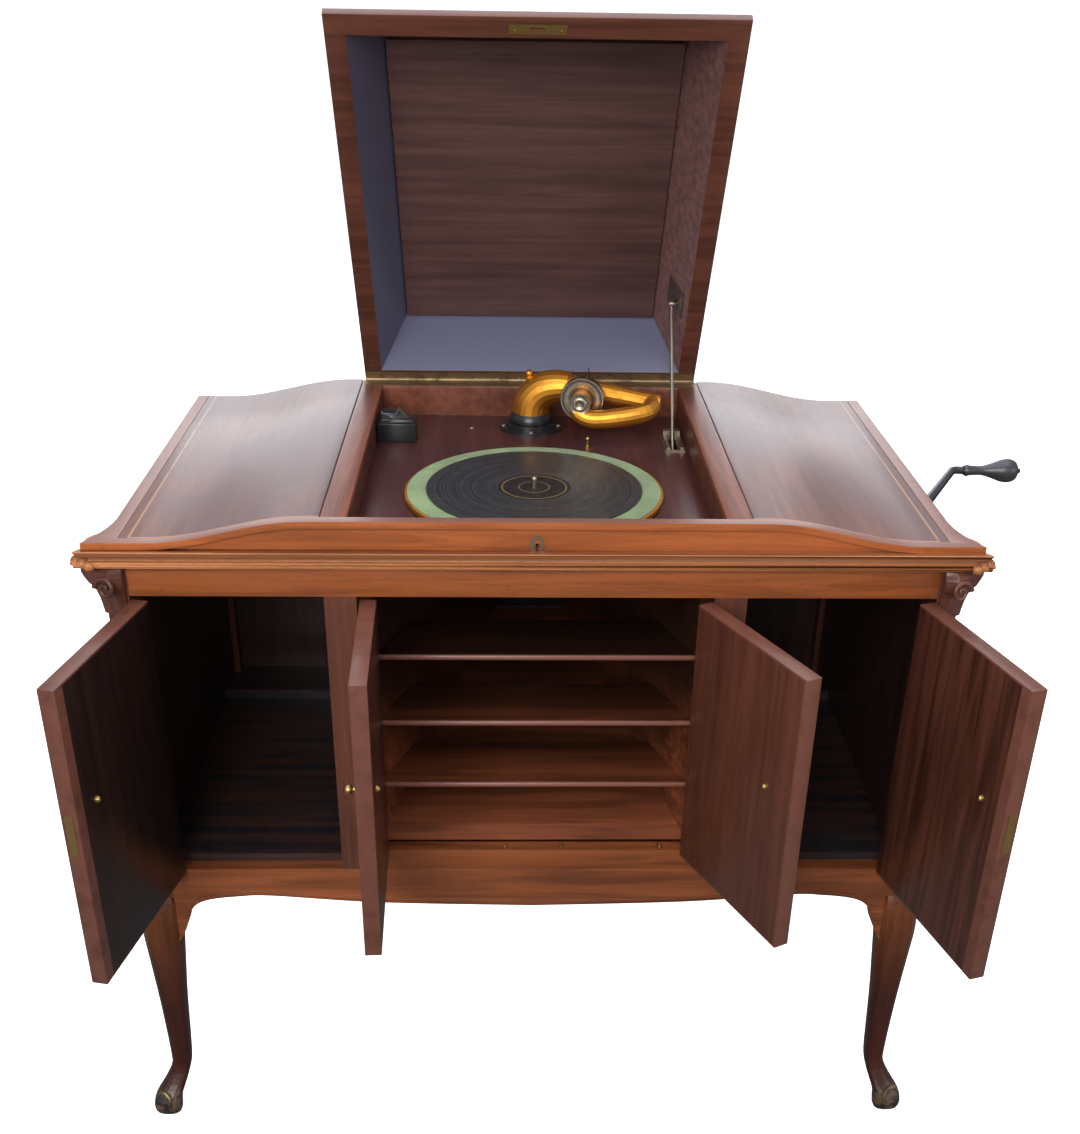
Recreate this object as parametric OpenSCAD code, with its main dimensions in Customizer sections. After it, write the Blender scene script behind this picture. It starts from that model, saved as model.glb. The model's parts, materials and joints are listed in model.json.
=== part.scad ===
// Hump-backed console gramophone, lid and doors standing open.
// Millimetres. x = 0 is the centre line, y = 0 the middle of the depth, the front faces -y,
// and z = 0 is the floor.

/* [Cabinet] */
// Width over the corner posts
cabinet_w = 936; // [924:2:948]
// Depth from the door faces to the back
cabinet_d = 518; // [514:2:530]
// Height of the flat middle of the top
deck_h = 838; // [832:2:848]
// Height of the apron's top edge, under the outer doors
sill_h = 390; // [384:2:396]
// How far the top falls towards each side
hump_drop = 25; // [20:1:28]
// Thickness of the top panels
top_t = 7.5; // [6:0.5:9]

/* [Doors] */
// Thickness of a door
door_t = 18; // [16:1:20]
// How far the left outer door stands open
outer_left_open = 102; // [95:1:110]
// How far the right outer door stands open
outer_right_open = 106; // [95:1:110]
// How far the left inner door stands open
inner_left_open = 88; // [80:1:116]
// How far the right inner door stands open
inner_right_open = 116; // [80:1:116]

/* [Lid] */
// Angle of the open lid above its closed place
lid_open = 60.4; // [58:0.2:62]
// Height of the lid above its rim
lid_rise = 92; // [86:2:98]

/* [Turntable and tone arm] */
// Diameter of the turntable
platter_d = 304; // [294:2:306]
// Diameter of the record
record_d = 254; // [170:2:254]

/* [Crank] */
// Distance from the crank's shaft to its handle
crank_r = 95; // [85:1:100]
// Angle of the crank arm above the horizontal
crank_turn = 7; // [0:1:30]

/* [Hidden] */

$fn = 48;

// Main places
half_w = cabinet_w / 2;
front_y = -cabinet_d / 2;
back_y = cabinet_d / 2;
door_top = deck_h - 87;
belt_z = deck_h - 52.5;
lock_z = deck_h - 26.5;           // middle of the lid lock's escutcheon
frame_t = 19;                     // thickness of the face frame
frame_back = front_y + frame_t;   // back of the face frame
post_in = half_w - 32;            // inner side of a corner post
chamfer = 22;                     // width and depth of the post's canted corner
post_back = front_y + 47;
rear_post_y = back_y - 33;
side_out = half_w - 14;           // outer face of a side panel
side_in = side_out - 14;
panel_low = sill_h - 38;          // lower edge of side and back panels
floor_z = sill_h + 10;            // compartment floor
floor_t = 16;
well_half = 201;                  // half the width of the motor well
mullion_in = well_half - 7;
mullion_out = well_half + 28;
partition_t = 13;
partition_out = well_half + partition_t;
ceiling_z = door_top + 1;
ceiling_t = 9;
sill_top = sill_h + 28;

// The hump: flat to hump_flat, then an easy slope down to hump_low
hump_flat = 244;
hump_low = 413;
top_side = half_w - 11;           // outer edge of the top at its sides
top_front = front_y - 3;
top_back = back_y + 3;
edge_w = 14;                      // width of the edge mouldings
ear_reach = 22;                   // how far the front corners flare
ear_depth = 75;
end_z = deck_h - hump_drop - top_t;   // underside of the top at its sides

// Motor well
board_z = deck_h - 41;            // upper face of the motorboard
board_t = 12;
well_back = back_y - 27;
turn_y = front_y + 186;           // turntable centre
arm_y = back_y - 76;              // tone arm pivot
platter_z = board_z + 2;
platter_t = 5;
felt_t = 1.5;
record_t = 2;
record_z = platter_z + platter_t + felt_t;
pin_r = 3.5;                      // record pin above the record
pin_h = 10;

// Crank
crank_y = turn_y + 45;
crank_z = deck_h - 68;
crank_lean = 62;                  // how far the arm leans outward
handle_l = 82;

// Lid, in its own frame: x across, u from the hinge to the front, z up from the rim
hinge_y = back_y + 0.5;
hinge_z = deck_h + 0.5;
lid_half = well_half + 25;
lid_overhang = 7.5;               // how far the closed lid reaches past the top's front edge
lid_len = hinge_y - top_front + lid_overhang;
lid_base_h = 10;                  // height of the lid's upright base band
lid_gap = 0.5;
lid_side_rim = 22.7;
lid_back_rim = 16;
lid_front_rim = 24;
strike_in = 14;                   // strike plate behind the rim's front edge
lid_inner_h = 80;                 // height of the lid's inner panel above the rim
lid_side_in = 32;                 // how far a side wall leans in over that height
lid_back_in = 22;
lid_front_in = 52;
leaf_t = 1.2;
stay_x = well_half - 17;
stay_u = 116;                     // stay pivot in the lid's frame
stay_v = 26;
stay_eye_y = back_y - 139;
stay_eye_z = board_z + 3;
rod_r = 2.4;

// Doors
gap = 1.5;
door_low = sill_h + gap;
outer_w = post_in - mullion_out - 2 * gap;
inner_low = sill_top + gap;
inner_w = mullion_in - 1.5 * gap;
pin_out = 3.3;                    // hinge pin in front of the door faces
knob_z = sill_h + 212;
leaf_h = 48;

wood = [0.36, 0.17, 0.11];
dark_wood = [0.26, 0.13, 0.11];
orange_wood = [0.52, 0.27, 0.14];
brass = [0.72, 0.58, 0.32];
gold = [0.86, 0.62, 0.2];
nickel = [0.62, 0.6, 0.56];
iron = [0.09, 0.09, 0.1];

// ---- helpers ----

function ease(t) = (1 - cos(180 * min(max(t, 0), 1))) / 2;
function hump(x) = deck_h - hump_drop * ease((abs(x) - hump_flat) / (hump_low - hump_flat));
function catmull(a, b, c, d, t) =
    0.5 * (2 * b + (c - a) * t + (2 * a - 5 * b + 4 * c - d) * t * t + (3 * b - a - 3 * c + d) * t * t * t);
function spline(p, n) = [
    for (i = [0:len(p) - 2], j = [0:n - 1])
        catmull(p[max(i - 1, 0)], p[i], p[i + 1], p[min(i + 2, len(p) - 1)], j / n),
    p[len(p) - 1]
];
function unit(v) = v / norm(v);
function xyz(p) = [p.x, p.y, p.z];
function carry(n, t) = unit(n - (n * t) * t);
function normals(ts, i, n) =
    i == len(ts) ? [] : let(m = carry(n, ts[i])) concat([m], normals(ts, i + 1, m));

// A closed solid through rings that all have the same number of points
module loft(rings) {
    n = len(rings[0]);
    m = len(rings);
    points = [for (ring = rings, p = ring) p];
    sides = [
        for (i = [0:m - 2], j = [0:n - 1], upper = [0, 1])
            let(a = i * n + j, b = i * n + (j + 1) % n)
                upper == 0 ? [a, b, b + n] : [a, b + n, a + n]
    ];
    bottom = [for (j = [n - 1:-1:0]) j];
    top = [for (j = [0:n - 1]) (m - 1) * n + j];
    polyhedron(points, concat([bottom], sides, [top]));
}

// A round tube along a smooth path; each point is [x, y, z, radius]
module bent_tube(path, start, sides = 16, steps = 5) {
    p = spline(path, steps);
    last = len(p) - 1;
    ts = [for (i = [0:last]) unit(xyz(p[min(i + 1, last)]) - xyz(p[max(i - 1, 0)]))];
    ns = normals(ts, 0, start);
    loft([
        for (i = [0:last])
            [for (j = [0:sides - 1])
                let(a = -360 * j / sides)
                    xyz(p[i]) + p[i][3] * (cos(a) * ns[i] + sin(a) * cross(ts[i], ns[i]))]
    ]);
}

module box(lo, hi) {
    translate(lo) cube(hi - lo);
}

module both_sides() {
    children();
    mirror([1, 0, 0]) children();
}

module along_x(p, r, l) {
    translate(p) rotate([0, 90, 0]) cylinder(r = r, h = l);
}

module along_y(p, r, l) {
    translate(p) rotate([-90, 0, 0]) cylinder(r = r, h = l);
}

// Stations across the hump: a regular grid on its two slopes, so that neighbours meet flush
hump_steps = 16;
hump_grid = concat(
    [for (i = [hump_steps:-1:0]) -hump_flat - (hump_low - hump_flat) * i / hump_steps],
    [for (i = [0:hump_steps]) hump_flat + (hump_low - hump_flat) * i / hump_steps]
);
function hump_xs(x0, x1) = concat([x0], [for (x = hump_grid) if (x > x0 + 0.1 && x < x1 - 0.1) x], [x1]);

// A band under the hump from x0 to x1 and y0 to y1, t thick, or down to the height low
module hump_band(x0, x1, y0, y1, t, low = 0) {
    xs = hump_xs(x0, x1);
    n = len(xs) - 1;
    upper = [for (x = xs) [x, hump(x)]];
    lower = low > 0 ? [[x1, low], [x0, low]] : [for (i = [n:-1:0]) [xs[i], hump(xs[i]) - t]];
    translate([0, y1, 0]) rotate([90, 0, 0]) linear_extrude(y1 - y0) polygon(concat(upper, lower));
}

// Plan of a moulding's outer edge with flared front corners
function ear(side, front, reach, depth) = [
    for (i = [0:8]) let(t = i / 8) [side + reach * t * t, front + depth * (1 - t)]
];
function eared_plan(side, front, back, reach, depth) =
    let(e = ear(side, front, reach, depth))
    concat([[side, back]], e, [for (i = [8:-1:0]) [-e[i].x, e[i].y]], [[-side, back]]);

// ---- carcass ----

module post_plan() {
    polygon([
        [-post_in, front_y], [-half_w + chamfer, front_y], [-half_w, front_y + chamfer],
        [-half_w, post_back], [-post_in, post_back]
    ]);
}

// Squarish section with rounded corners, half-size h, n points
function leg_ring(cx, cy, z, h, n = 20) = [
    for (i = [0:n - 1])
        let(a = -360 * i / n, c = cos(a), s = sin(a), k = pow(pow(abs(c), 3.2) + pow(abs(s), 3.2), -1 / 3.2))
        [cx + h * k * c, cy + h * k * s, z]
];

// Cabriole leg on the left front corner: [height, reach along the diagonal, half-size]
leg_stations = [
    [0, 25, 12], [8, 28, 16.5], [26, 27, 17.5], [46, 17, 14.5], [66, 9.5, 12.5], [90, 7.5, 13],
    [175, 7, 16.5], [245, 6.5, 21], [300, 6, 24.5], [330, 3.5, 23.5], [352, 0.5, 17.5]
];

module cabriole_leg(cx, cy, toward_y) {
    stations = spline(leg_stations, 3);
    loft([for (s = stations) leg_ring(cx - s[1], cy + toward_y * s[1], s[0] * panel_low / 352, s[2])]);
}

module front_leg() {
    color(wood) difference() {
        union() {
            cabriole_leg(-half_w + 16, front_y + 23, -1);
            translate([0, 0, panel_low - 4]) linear_extrude(end_z - panel_low + 4) post_plan();
        }
        stile_mortises(-post_in, outer_zs());
        box([-post_in, front_y - 0.1, apron_edge[0].y - 1], [-post_in + 20, frame_back + 0.1, sill_h]);
    }
}

module front_left_leg() {
    front_leg();
}

module front_right_leg() {
    mirror([1, 0, 0]) front_leg();
}

module rear_legs() {
    color(wood) both_sides() {
        cabriole_leg(-half_w + 20, back_y - 17, 1);
        box([-side_out - 2, rear_post_y, panel_low - 4], [-post_in + 4, back_y, end_z]);
    }
}

module side_panel() {
    difference() {
        box([-side_out, post_back, panel_low], [-side_in, rear_post_y, end_z]);
        along_x([-side_out - 1, crank_y, crank_z], 11, 16);
    }
}

module left_side_panel() {
    color(dark_wood) box([-side_out, post_back, panel_low], [-side_in, rear_post_y, end_z]);
}

module right_side_panel() {
    color(dark_wood) mirror([1, 0, 0]) side_panel();
}

module back_panel() {
    color(dark_wood) box([-post_in + 4, back_y - 14, panel_low], [post_in - 4, back_y - 2, end_z]);
}

module bottom_board() {
    color(dark_wood) union() {
        box([-side_in, post_back, floor_z - floor_t], [side_in, rear_post_y, floor_z]);
        box([-post_in, frame_back, floor_z - floor_t], [post_in, post_back + 1, floor_z]);
        box([-post_in + 4, rear_post_y - 1, floor_z - floor_t], [post_in - 4, back_y - 14, floor_z]);
    }
}

// Partition with its face stile, on the right of the centre line
module partition(shaft_hole) {
    difference() {
        union() {
            box([well_half, frame_back, floor_z], [well_half + partition_t, back_y - 14, deck_h - top_t]);
            box([well_half, front_y + 12.1, belt_z], [well_half + partition_t, frame_back, deck_h - top_t]);
            box([mullion_in, front_y, sill_h], [mullion_out, frame_back, door_top]);
        }
        mirror([1, 0, 0]) stile_mortises(-mullion_in, inner_zs());
        if (shaft_hole) along_x([well_half - 1, crank_y, crank_z], 12, partition_t + 2);
    }
}

module partitions() {
    color(wood) partition(true);
    color(wood) mirror([1, 0, 0]) partition(false);
}

module front_rail() {
    color(orange_wood) difference() {
        box([-post_in, front_y, door_top], [post_in, frame_back, belt_z]);
        box([-well_half, front_y + 12.2, board_z - board_t], [well_half, frame_back + 1, belt_z + 1]);
    }
}

// The frieze under the humped top, with the keyhole and the lock's mortise
module front_board() {
    color(orange_wood) difference() {
        translate([0, 0, -top_t])
            hump_band(-post_in, post_in, front_y + 2, front_y + 10.9, 0, belt_z + top_t);
        box([-32, front_y + 4, belt_z + 2], [32, front_y + 13, deck_h - top_t + 1]);
        along_y([0, front_y, lock_z - 1.5], 3, 20);
        box([-1.4, front_y, lock_z - 10.5], [1.4, front_y + 13, lock_z - 1.5]);
    }
}

// Belt of two beads: [share of its height, how far it stands out]
belt_h = end_z - belt_z;
belt_ear_reach = 28;
belt_ear_depth = 75;
belt_profile = [
    [0, 2], [0.04, 8], [0.12, 11], [0.22, 12], [0.32, 11.2], [0.40, 9], [0.43, 7], [0.52, 5.4], [0.64, 5],
    [0.76, 5.8], [0.84, 7.6], [0.87, 9], [0.94, 9.4], [1, 8.6]
];

// Plan of the cabinet's front and sides, which the belt goes round
module cabinet_plan(clear) {
    rear = back_y;
    behind_post = post_back + 0.3;
    right = [
        [side_out + clear, rear], [side_out + clear, behind_post], [half_w + clear, behind_post],
        [half_w + clear, front_y + chamfer], [half_w - chamfer, front_y - clear / 2]
    ];
    polygon(concat(right, [for (i = [len(right) - 1:-1:0]) [-right[i].x, right[i].y]]));
}

// The belt along one side, behind the front post
module side_belt() {
    loft([
        for (p = belt_profile)
            let(x0 = side_out + 0.2, x1 = side_out + 2.5 + p[1] * 0.2)
            let(y0 = post_back + 1, y1 = rear_post_y - 1, z = belt_z + p[0] * belt_h)
                [[x0, y0, z], [x0, y1, z], [x1, y1, z], [x1, y0, z]]
    ]);
}

module belt_moulding() {
    color(orange_wood) {
        difference() {
            loft([
                for (p = belt_profile)
                    let(side = side_out + 2.5 + p[1] * 0.2)
                    let(plan = eared_plan(side, front_y - p[1], rear_post_y, belt_ear_reach, belt_ear_depth))
                        [for (q = plan) [q.x, q.y, belt_z + p[0] * belt_h]]
            ]);
            translate([0, 0, belt_z - 1]) linear_extrude(belt_h + 2) cabinet_plan(0.2);
            both_sides()
                box([-half_w - 30, front_y + chamfer - 5, belt_z - 1], [-side_in, rear_post_y, end_z + 1]);
        }
        both_sides() side_belt();
    }
}

// Lower edge of the apron, from the leg to the middle
apron_edge = [
    [post_in, sill_h - 108], [post_in - 6, sill_h - 98], [post_in - 13, sill_h - 82],
    [post_in - 18, sill_h - 64], [post_in - 28, sill_h - 50], [post_in - 47, sill_h - 42.5],
    [post_in - 80, sill_h - 38.5], [post_in - 120, sill_h - 37.5], [post_in - 250, sill_h - 48],
    [0, sill_h - 53]
];

module front_apron() {
    edge = spline(apron_edge, 6);
    n = len(edge) - 1;
    right = [for (i = [0:n]) edge[i]];
    left = [for (i = [n - 1:-1:0]) [-edge[i].x, edge[i].y]];
    lower = concat(right, left);
    bead = [for (i = [len(lower) - 1:-1:0]) [lower[i].x, lower[i].y + 6]];
    color(orange_wood) union() {
        translate([0, frame_back, 0]) rotate([90, 0, 0]) linear_extrude(frame_t)
            polygon(concat([[-post_in, sill_h], [post_in, sill_h]], lower));
        translate([0, frame_back, 0]) rotate([90, 0, 0]) linear_extrude(frame_t + 3)
            polygon(concat(lower, bead));
    }
}

module centre_sill() {
    color(orange_wood) difference() {
        box([-mullion_in, front_y, sill_h], [mullion_in, frame_back, sill_top]);
        for (x = catch_xs) translate([x, front_y + 9, sill_top - 5]) cylinder(r = 4, h = 10);
    }
}

// Ceilings of the outer compartments, album stops on their floors and the motorboard's cleats
module inner_boards() {
    color(dark_wood) both_sides() {
        box([-side_in, post_back, ceiling_z], [-partition_out, rear_post_y, ceiling_z + ceiling_t]);
        box([-side_in, back_y - 115, floor_z], [-partition_out, back_y - 103, floor_z + 14]);
        for (y = [[front_y + 30, crank_y - 22], [crank_y + 22, 80]])
            box([-well_half, y[0], board_z - board_t - 14], [-well_half + 10, y[1], board_z - board_t]);
    }
}

// ---- top ----

module top_panel(x0, x1) {
    hump_band(x0, x1, top_front + edge_w, top_back, top_t);
}

module left_top_panel() {
    color(wood) top_panel(-top_side + edge_w, -mullion_out - 0.8);
}

module right_top_panel() {
    color(wood) top_panel(mullion_out + 0.8, top_side - edge_w);
}

// Front and side mouldings, cut from the humped band by their plan
module top_moulding() {
    color(orange_wood) difference() {
        intersection() {
            hump_band(-half_w - 20, half_w + 20, top_front, top_back, top_t);
            linear_extrude(deck_h + 1)
                polygon(eared_plan(top_side, top_front, top_back, ear_reach, ear_depth));
        }
        box([-top_side + edge_w, top_front + edge_w, end_z - 1],
            [top_side - edge_w, top_back + 1, deck_h + 1]);
        for (s = [-1, 1]) translate([0, 0, end_z - 1]) linear_extrude(60)
            polygon([
                [s * (top_side - edge_w), top_front + edge_w - 0.3],
                [s * (top_side - edge_w), top_front + edge_w],
                [s * top_side, top_front + ear_depth + 0.3],
                [s * top_side, top_front + ear_depth]
            ]);
    }
}

// Side rails and hinge rail round the well, and the board behind it
module well_frame() {
    color(wood) difference() {
        union() {
            both_sides()
                box([well_half, top_front + edge_w, deck_h - top_t], [mullion_out, well_back, deck_h]);
            box([-mullion_out, well_back, deck_h - top_t], [mullion_out, back_y - 2.3, deck_h]);
            box([-well_half, well_back, board_z - 20], [well_half, well_back + 12, deck_h - top_t]);
        }
        box([-lid_half, well_back + 4, deck_h - leaf_t], [lid_half, back_y, deck_h + 1]);
    }
}

module motorboard() {
    color(dark_wood) difference() {
        box([-well_half + 0.3, front_y + 12.5, board_z - board_t],
            [well_half - 0.3, well_back - 0.3, board_z]);
        translate([0, turn_y, board_z - 20]) cylinder(r = 8, h = 40);
        translate([0, arm_y, board_z - 20]) cylinder(r = 30, h = 40);
        box([stay_x - 5, stay_eye_y - 30, board_z - 20], [stay_x + 5, stay_eye_y + 14, board_z + 1]);
        for (p = screw_places) translate([p.x, p.y, board_z - 4]) cylinder(r = 2, h = 10);
    }
}

// Scroll capital: [height below the belt, how far it stands out]
capital_profile = [
    [0, 14], [4, 19], [9, 21.5], [15, 22], [21, 19.5], [26, 14], [32, 9], [41, 5], [51, 2.4], [60, 0.6]
];

function capital_ring(p) =
    let(e = p[1], z = belt_z - p[0], a = -half_w + chamfer, b = front_y + chamfer)
    [
        [a + 8, front_y + 4, z], [a + 8, front_y - 0.2, z], [a + 7, front_y - e * 0.45, z],
        [a - e * 0.3, front_y - e * 0.75, z], [-half_w - e * 0.55, b - chamfer * 0.4 - e * 0.4, z],
        [-half_w - e, b - 2, z], [-half_w - e * 0.7, b + 12, z], [-half_w - 0.2, b + 18, z],
        [-half_w + 4, b + 18, z]
    ];

module scroll_capitals() {
    color(wood) both_sides() difference() {
        loft([for (i = [len(capital_profile) - 1:-1:0]) capital_ring(capital_profile[i])]);
        translate([0, 0, panel_low]) linear_extrude(deck_h) post_plan();
    }
}

// ---- horn ----

horn_mouth = well_half - 20;
horn_throat = 46;
horn_end = arm_y - 83;
horn_wall = well_half - horn_mouth;
horn_board = 8;
throat_z = deck_h - 276;                   // bottom of the throat
throat_h = 78;
horn_floor_low = [sill_top + 2, throat_z]; // floor height at the mouth and at the throat
horn_top_low = [door_top - 6, throat_z + throat_h];

module horn_plan(inset) {
    polygon([
        [-horn_mouth + inset, frame_back], [horn_mouth - inset, frame_back],
        [horn_throat - inset, horn_end], [-horn_throat + inset, horn_end]
    ]);
}

// Everything across the horn between two sloping lines, each given at the mouth and at the throat
module horn_slab(low, high) {
    translate([-300, 0, 0]) rotate([90, 0, 90]) linear_extrude(600)
        polygon([[frame_back, low[0]], [horn_end, low[1]], [horn_end, high[1]], [frame_back, high[0]]]);
}

function raised(line, t) = [line[0] + t, line[1] + t];

module horn_boards() {
    color(orange_wood) {
        for (line = [horn_floor_low, horn_top_low]) intersection() {
            linear_extrude(deck_h) horn_plan(0.1);
            horn_slab(line, raised(line, horn_board));
        }
        intersection() {
            linear_extrude(deck_h) difference() {
                horn_plan(-horn_wall);
                horn_plan(0);
            }
            horn_slab(horn_floor_low, raised(horn_top_low, horn_board));
        }
    }
}

louvre_zs = [for (share = [0.252, 0.504, 0.76]) sill_top + share * (door_top - sill_top)];
louvre_depth = 90;

// Three slats across the horn's mouth
module louvres() {
    color(orange_wood) for (z = louvre_zs) intersection() {
        linear_extrude(deck_h) horn_plan(0.2);
        union() {
            box([-horn_mouth, frame_back + 4, z - 8], [horn_mouth, frame_back + louvre_depth, z]);
            along_x([-horn_mouth, frame_back + 4, z - 4], 4, 2 * horn_mouth);
        }
    }
}

elbow_top = throat_z + throat_h + 16;

// Cast box behind the throat with a pipe up to the tone arm
module horn_elbow() {
    color(iron) difference() {
        union() {
            box([-58, horn_end, throat_z - 10], [58, arm_y + 40, elbow_top]);
            translate([0, arm_y, elbow_top - 6]) cylinder(r = 34, h = board_z - board_t - elbow_top + 6);
        }
        box([-46, horn_end - 1, throat_z + 9], [46, arm_y + 34, elbow_top - 17]);
        translate([0, arm_y, elbow_top - 26]) cylinder(r = 29, h = deck_h);
    }
}

// ---- hardware on the cabinet ----

function outer_zs() = [door_low + 45, door_top - gap - 45 - leaf_h];
function inner_zs() = [inner_low + 40, door_top - gap - 45 - leaf_h];
leaf_l = 15;
catch_xs = [-34, 34, 153];

// Shallow seats for the fixed leaves in a post or stile that ends at x = edge
module stile_mortises(edge, zs) {
    for (z = zs)
        box([edge - leaf_t, front_y - 1, z - 0.1], [edge + 1, front_y + leaf_l, z + leaf_h + 0.1]);
}

// Fixed leaf, its two knuckles and the pin, for a door hinged at its left edge
module fixed_leaf(edge, zs) {
    px = edge + gap / 2;
    py = front_y - pin_out;
    k = leaf_h / 3;
    for (z = zs) {
        difference() {
            union() {
                box([edge - leaf_t, front_y, z], [edge, front_y + leaf_l, z + leaf_h]);
                for (dz = [0, 2 * k + 0.2]) {
                    translate([px, py, z + dz]) cylinder(r = 3, h = k - 0.2);
                    box([edge - leaf_t, py, z + dz], [edge, front_y + 1, z + dz + k - 0.2]);
                }
            }
            translate([px, py, z - 1]) cylinder(r = 1.5, h = leaf_h + 2);
        }
        translate([px, py, z - 1.5]) cylinder(r = 1.5, h = leaf_h + 3);
    }
}

module door_hinge_leaves() {
    color(brass) both_sides() {
        fixed_leaf(-post_in, outer_zs());
        fixed_leaf(-mullion_in, inner_zs());
    }
}

// The moving leaf of a door in its closed place
module moving_leaf(edge, zs) {
    px = edge + gap / 2;
    py = front_y - pin_out;
    k = leaf_h / 3;
    for (z = zs) difference() {
        union() {
            box([edge + gap, front_y, z], [edge + gap + leaf_t, front_y + leaf_l, z + leaf_h]);
            translate([px, py, z + k + 0.1]) cylinder(r = 3, h = k - 0.2);
            box([edge + gap, py, z + k + 0.1], [edge + gap + leaf_t, front_y + 1, z + 2 * k - 0.1]);
        }
        translate([px, py, z - 1]) cylinder(r = 1.55, h = leaf_h + 2);
    }
}

knuckle_n = 15;
knuckle_l = 2 * lid_half / knuckle_n;
lid_pin_r = 1.2;
lid_barrel_r = 2.7;

module lid_knuckles(first) {
    for (i = [first:2:knuckle_n - 1])
        along_x([-lid_half + i * knuckle_l + 0.2, hinge_y, hinge_z], lid_barrel_r, knuckle_l - 0.4);
}

// Fixed leaf of the continuous hinge, with its pin
module lid_hinge_fixed_leaf() {
    color(brass) {
        difference() {
            union() {
                box([-lid_half, well_back + 4, deck_h - leaf_t], [lid_half, back_y - 2.4, deck_h]);
                lid_knuckles(0);
                for (i = [0:2:knuckle_n - 1])
                    box([-lid_half + i * knuckle_l + 0.2, back_y - 2.5, deck_h - leaf_t],
                        [-lid_half + (i + 1) * knuckle_l - 0.2, hinge_y, deck_h - 0.2]);
            }
            along_x([-lid_half - 1, hinge_y, hinge_z], lid_pin_r, 2 * lid_half + 2);
        }
        along_x([-lid_half - 0.5, hinge_y, hinge_z], lid_pin_r, 2 * lid_half + 1);
    }
}

// Lock case behind the frieze and the oval escutcheon in front of it
module lid_lock() {
    color(nickel) {
        difference() {
            box([-31.5, front_y + 4.3, belt_z + 2.5], [31.5, front_y + 10.8, deck_h - top_t]);
            box([-1.4, front_y + 4, lock_z - 10.5], [1.4, front_y + 13, lock_z + 1.5]);
        }
        difference() {
            translate([0, front_y + 2, lock_z]) rotate([90, 0, 0]) linear_extrude(1.6) oval(7.4, 10);
            translate([0, front_y + 5, lock_z]) rotate([90, 0, 0]) linear_extrude(6) oval(4.6, 7.4);
        }
    }
}

module oval(a, b) {
    polygon([for (i = [0:31]) [a * cos(360 * i / 32), b * sin(360 * i / 32)]]);
}

module door_catches() {
    color(brass) for (x = catch_xs) translate([x, front_y + 9, sill_top - 5]) {
        cylinder(r = 4, h = 5.6);
        cylinder(r = 2.2, h = 6.2);
    }
}

// Motor frame: a plate under the motorboard with two cheeks that carry the shafts
motor_top = board_z - board_t;
cheek_in = 54;
cheek_t = 6;
pinion_r = 10;
wind_gear_r = 29.6;
barrel_y = crank_y - 12;
barrel_z = crank_z - 38;
barrel_r = 26;
governor_y = turn_y - 62;
governor_z = motor_top - 28;

module motor_frame() {
    color(iron) difference() {
        union() {
            box([-cheek_in - cheek_t, turn_y - 80, motor_top - 4],
                [cheek_in + cheek_t, turn_y + 72, motor_top]);
            for (x = [-cheek_in - cheek_t, cheek_in])
                translate([x, turn_y, motor_top]) rotate([90, 0, 90]) linear_extrude(cheek_t)
                    polygon([[-74, -4], [-74, -45], [10, -66], [70, -66], [70, -4]]);
        }
        translate([0, turn_y, motor_top - 20]) cylinder(r = 4.05, h = 40);
        along_x([-80, barrel_y, barrel_z], 4.05, 160);
        along_x([-80, governor_y, governor_z], 2.05, 160);
        along_x([0, crank_y, crank_z], 6.05, 80);
    }
}

// Black box with a sprung nickel clip on its lid
module needle_box() {
    translate([1 - well_half, arm_y - 67, board_z]) {
        color(iron) box([0, 0, 0], [50, 42, 24]);
        color(nickel) {
            box([4, 16, 24], [24, 36, 34]);
            box([16, 8, 24], [46, 24, 28]);
        }
    }
}

module arm_rest_post() {
    color(brass) translate([72, arm_y - 80, board_z]) {
        cylinder(r = 4, h = 2);
        cylinder(r = 2.2, h = 11);
        translate([0, 0, 11]) sphere(r = 3);
    }
}

// Bracket that guides the stay rod where it enters the motorboard
module stay_bracket() {
    color(nickel) translate([stay_x, stay_eye_y, board_z]) difference() {
        union() {
            box([-13, -34, 0], [13, 24, 2]);
            box([-11, -34, 2], [-6.5, 22, 6]);
            box([6.5, -34, 2], [11, 22, 6]);
            box([-11, 14, 2], [11, 22, 12]);
        }
        box([-5, -30, -1], [5, 14, 3]);
    }
}

module tonearm_base() {
    color(iron) difference() {
        union() {
            translate([0, arm_y, board_z]) cylinder(r = 42, h = 4);
            translate([0, arm_y, board_z]) cylinder(r = 32, h = 10);
        }
        translate([0, arm_y, board_z - 1]) cylinder(r = 22, h = 40);
        translate([0, arm_y, board_z + 5]) cylinder(r = 26.05, h = 40);
        for (a = base_screw_angles)
            translate([37 * cos(a), arm_y + 37 * sin(a), board_z - 1]) cylinder(r = 2, h = 10);
    }
}

base_screw_angles = [190, 270, 350];
screw_places = concat(
    [for (a = base_screw_angles) [37 * cos(a), arm_y + 37 * sin(a), 4]],
    [[-79, arm_y - 6, 0], [16 - well_half, front_y + 34, 0], [well_half - 16, front_y + 34, 0]]
);

module board_screws() {
    color(nickel) for (p = screw_places) translate([p.x, p.y, board_z - 4]) {
        cylinder(r = 2, h = 4 + p.z);
        translate([0, 0, 4 + p.z]) difference() {
            cylinder(r1 = 3.6, r2 = 2.4, h = 1.6);
            box([-4, -0.4, 0.8], [4, 0.4, 2]);
        }
    }
}

module crank_bush() {
    color(brass) difference() {
        union() {
            along_x([side_in, crank_y, crank_z], 11, 14);
            along_x([side_out, crank_y, crank_z], 15.3, 3);
        }
        along_x([side_in - 1, crank_y, crank_z], 6.05, 30);
    }
}

// ---- lid ----

// Places a closed lid's own frame (x, u towards the front, z up) and swings it open
module lid_place() {
    translate([0, hinge_y, hinge_z]) rotate([-lid_open, 0, 0]) translate([0, 0, lid_gap]) children();
}

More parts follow.
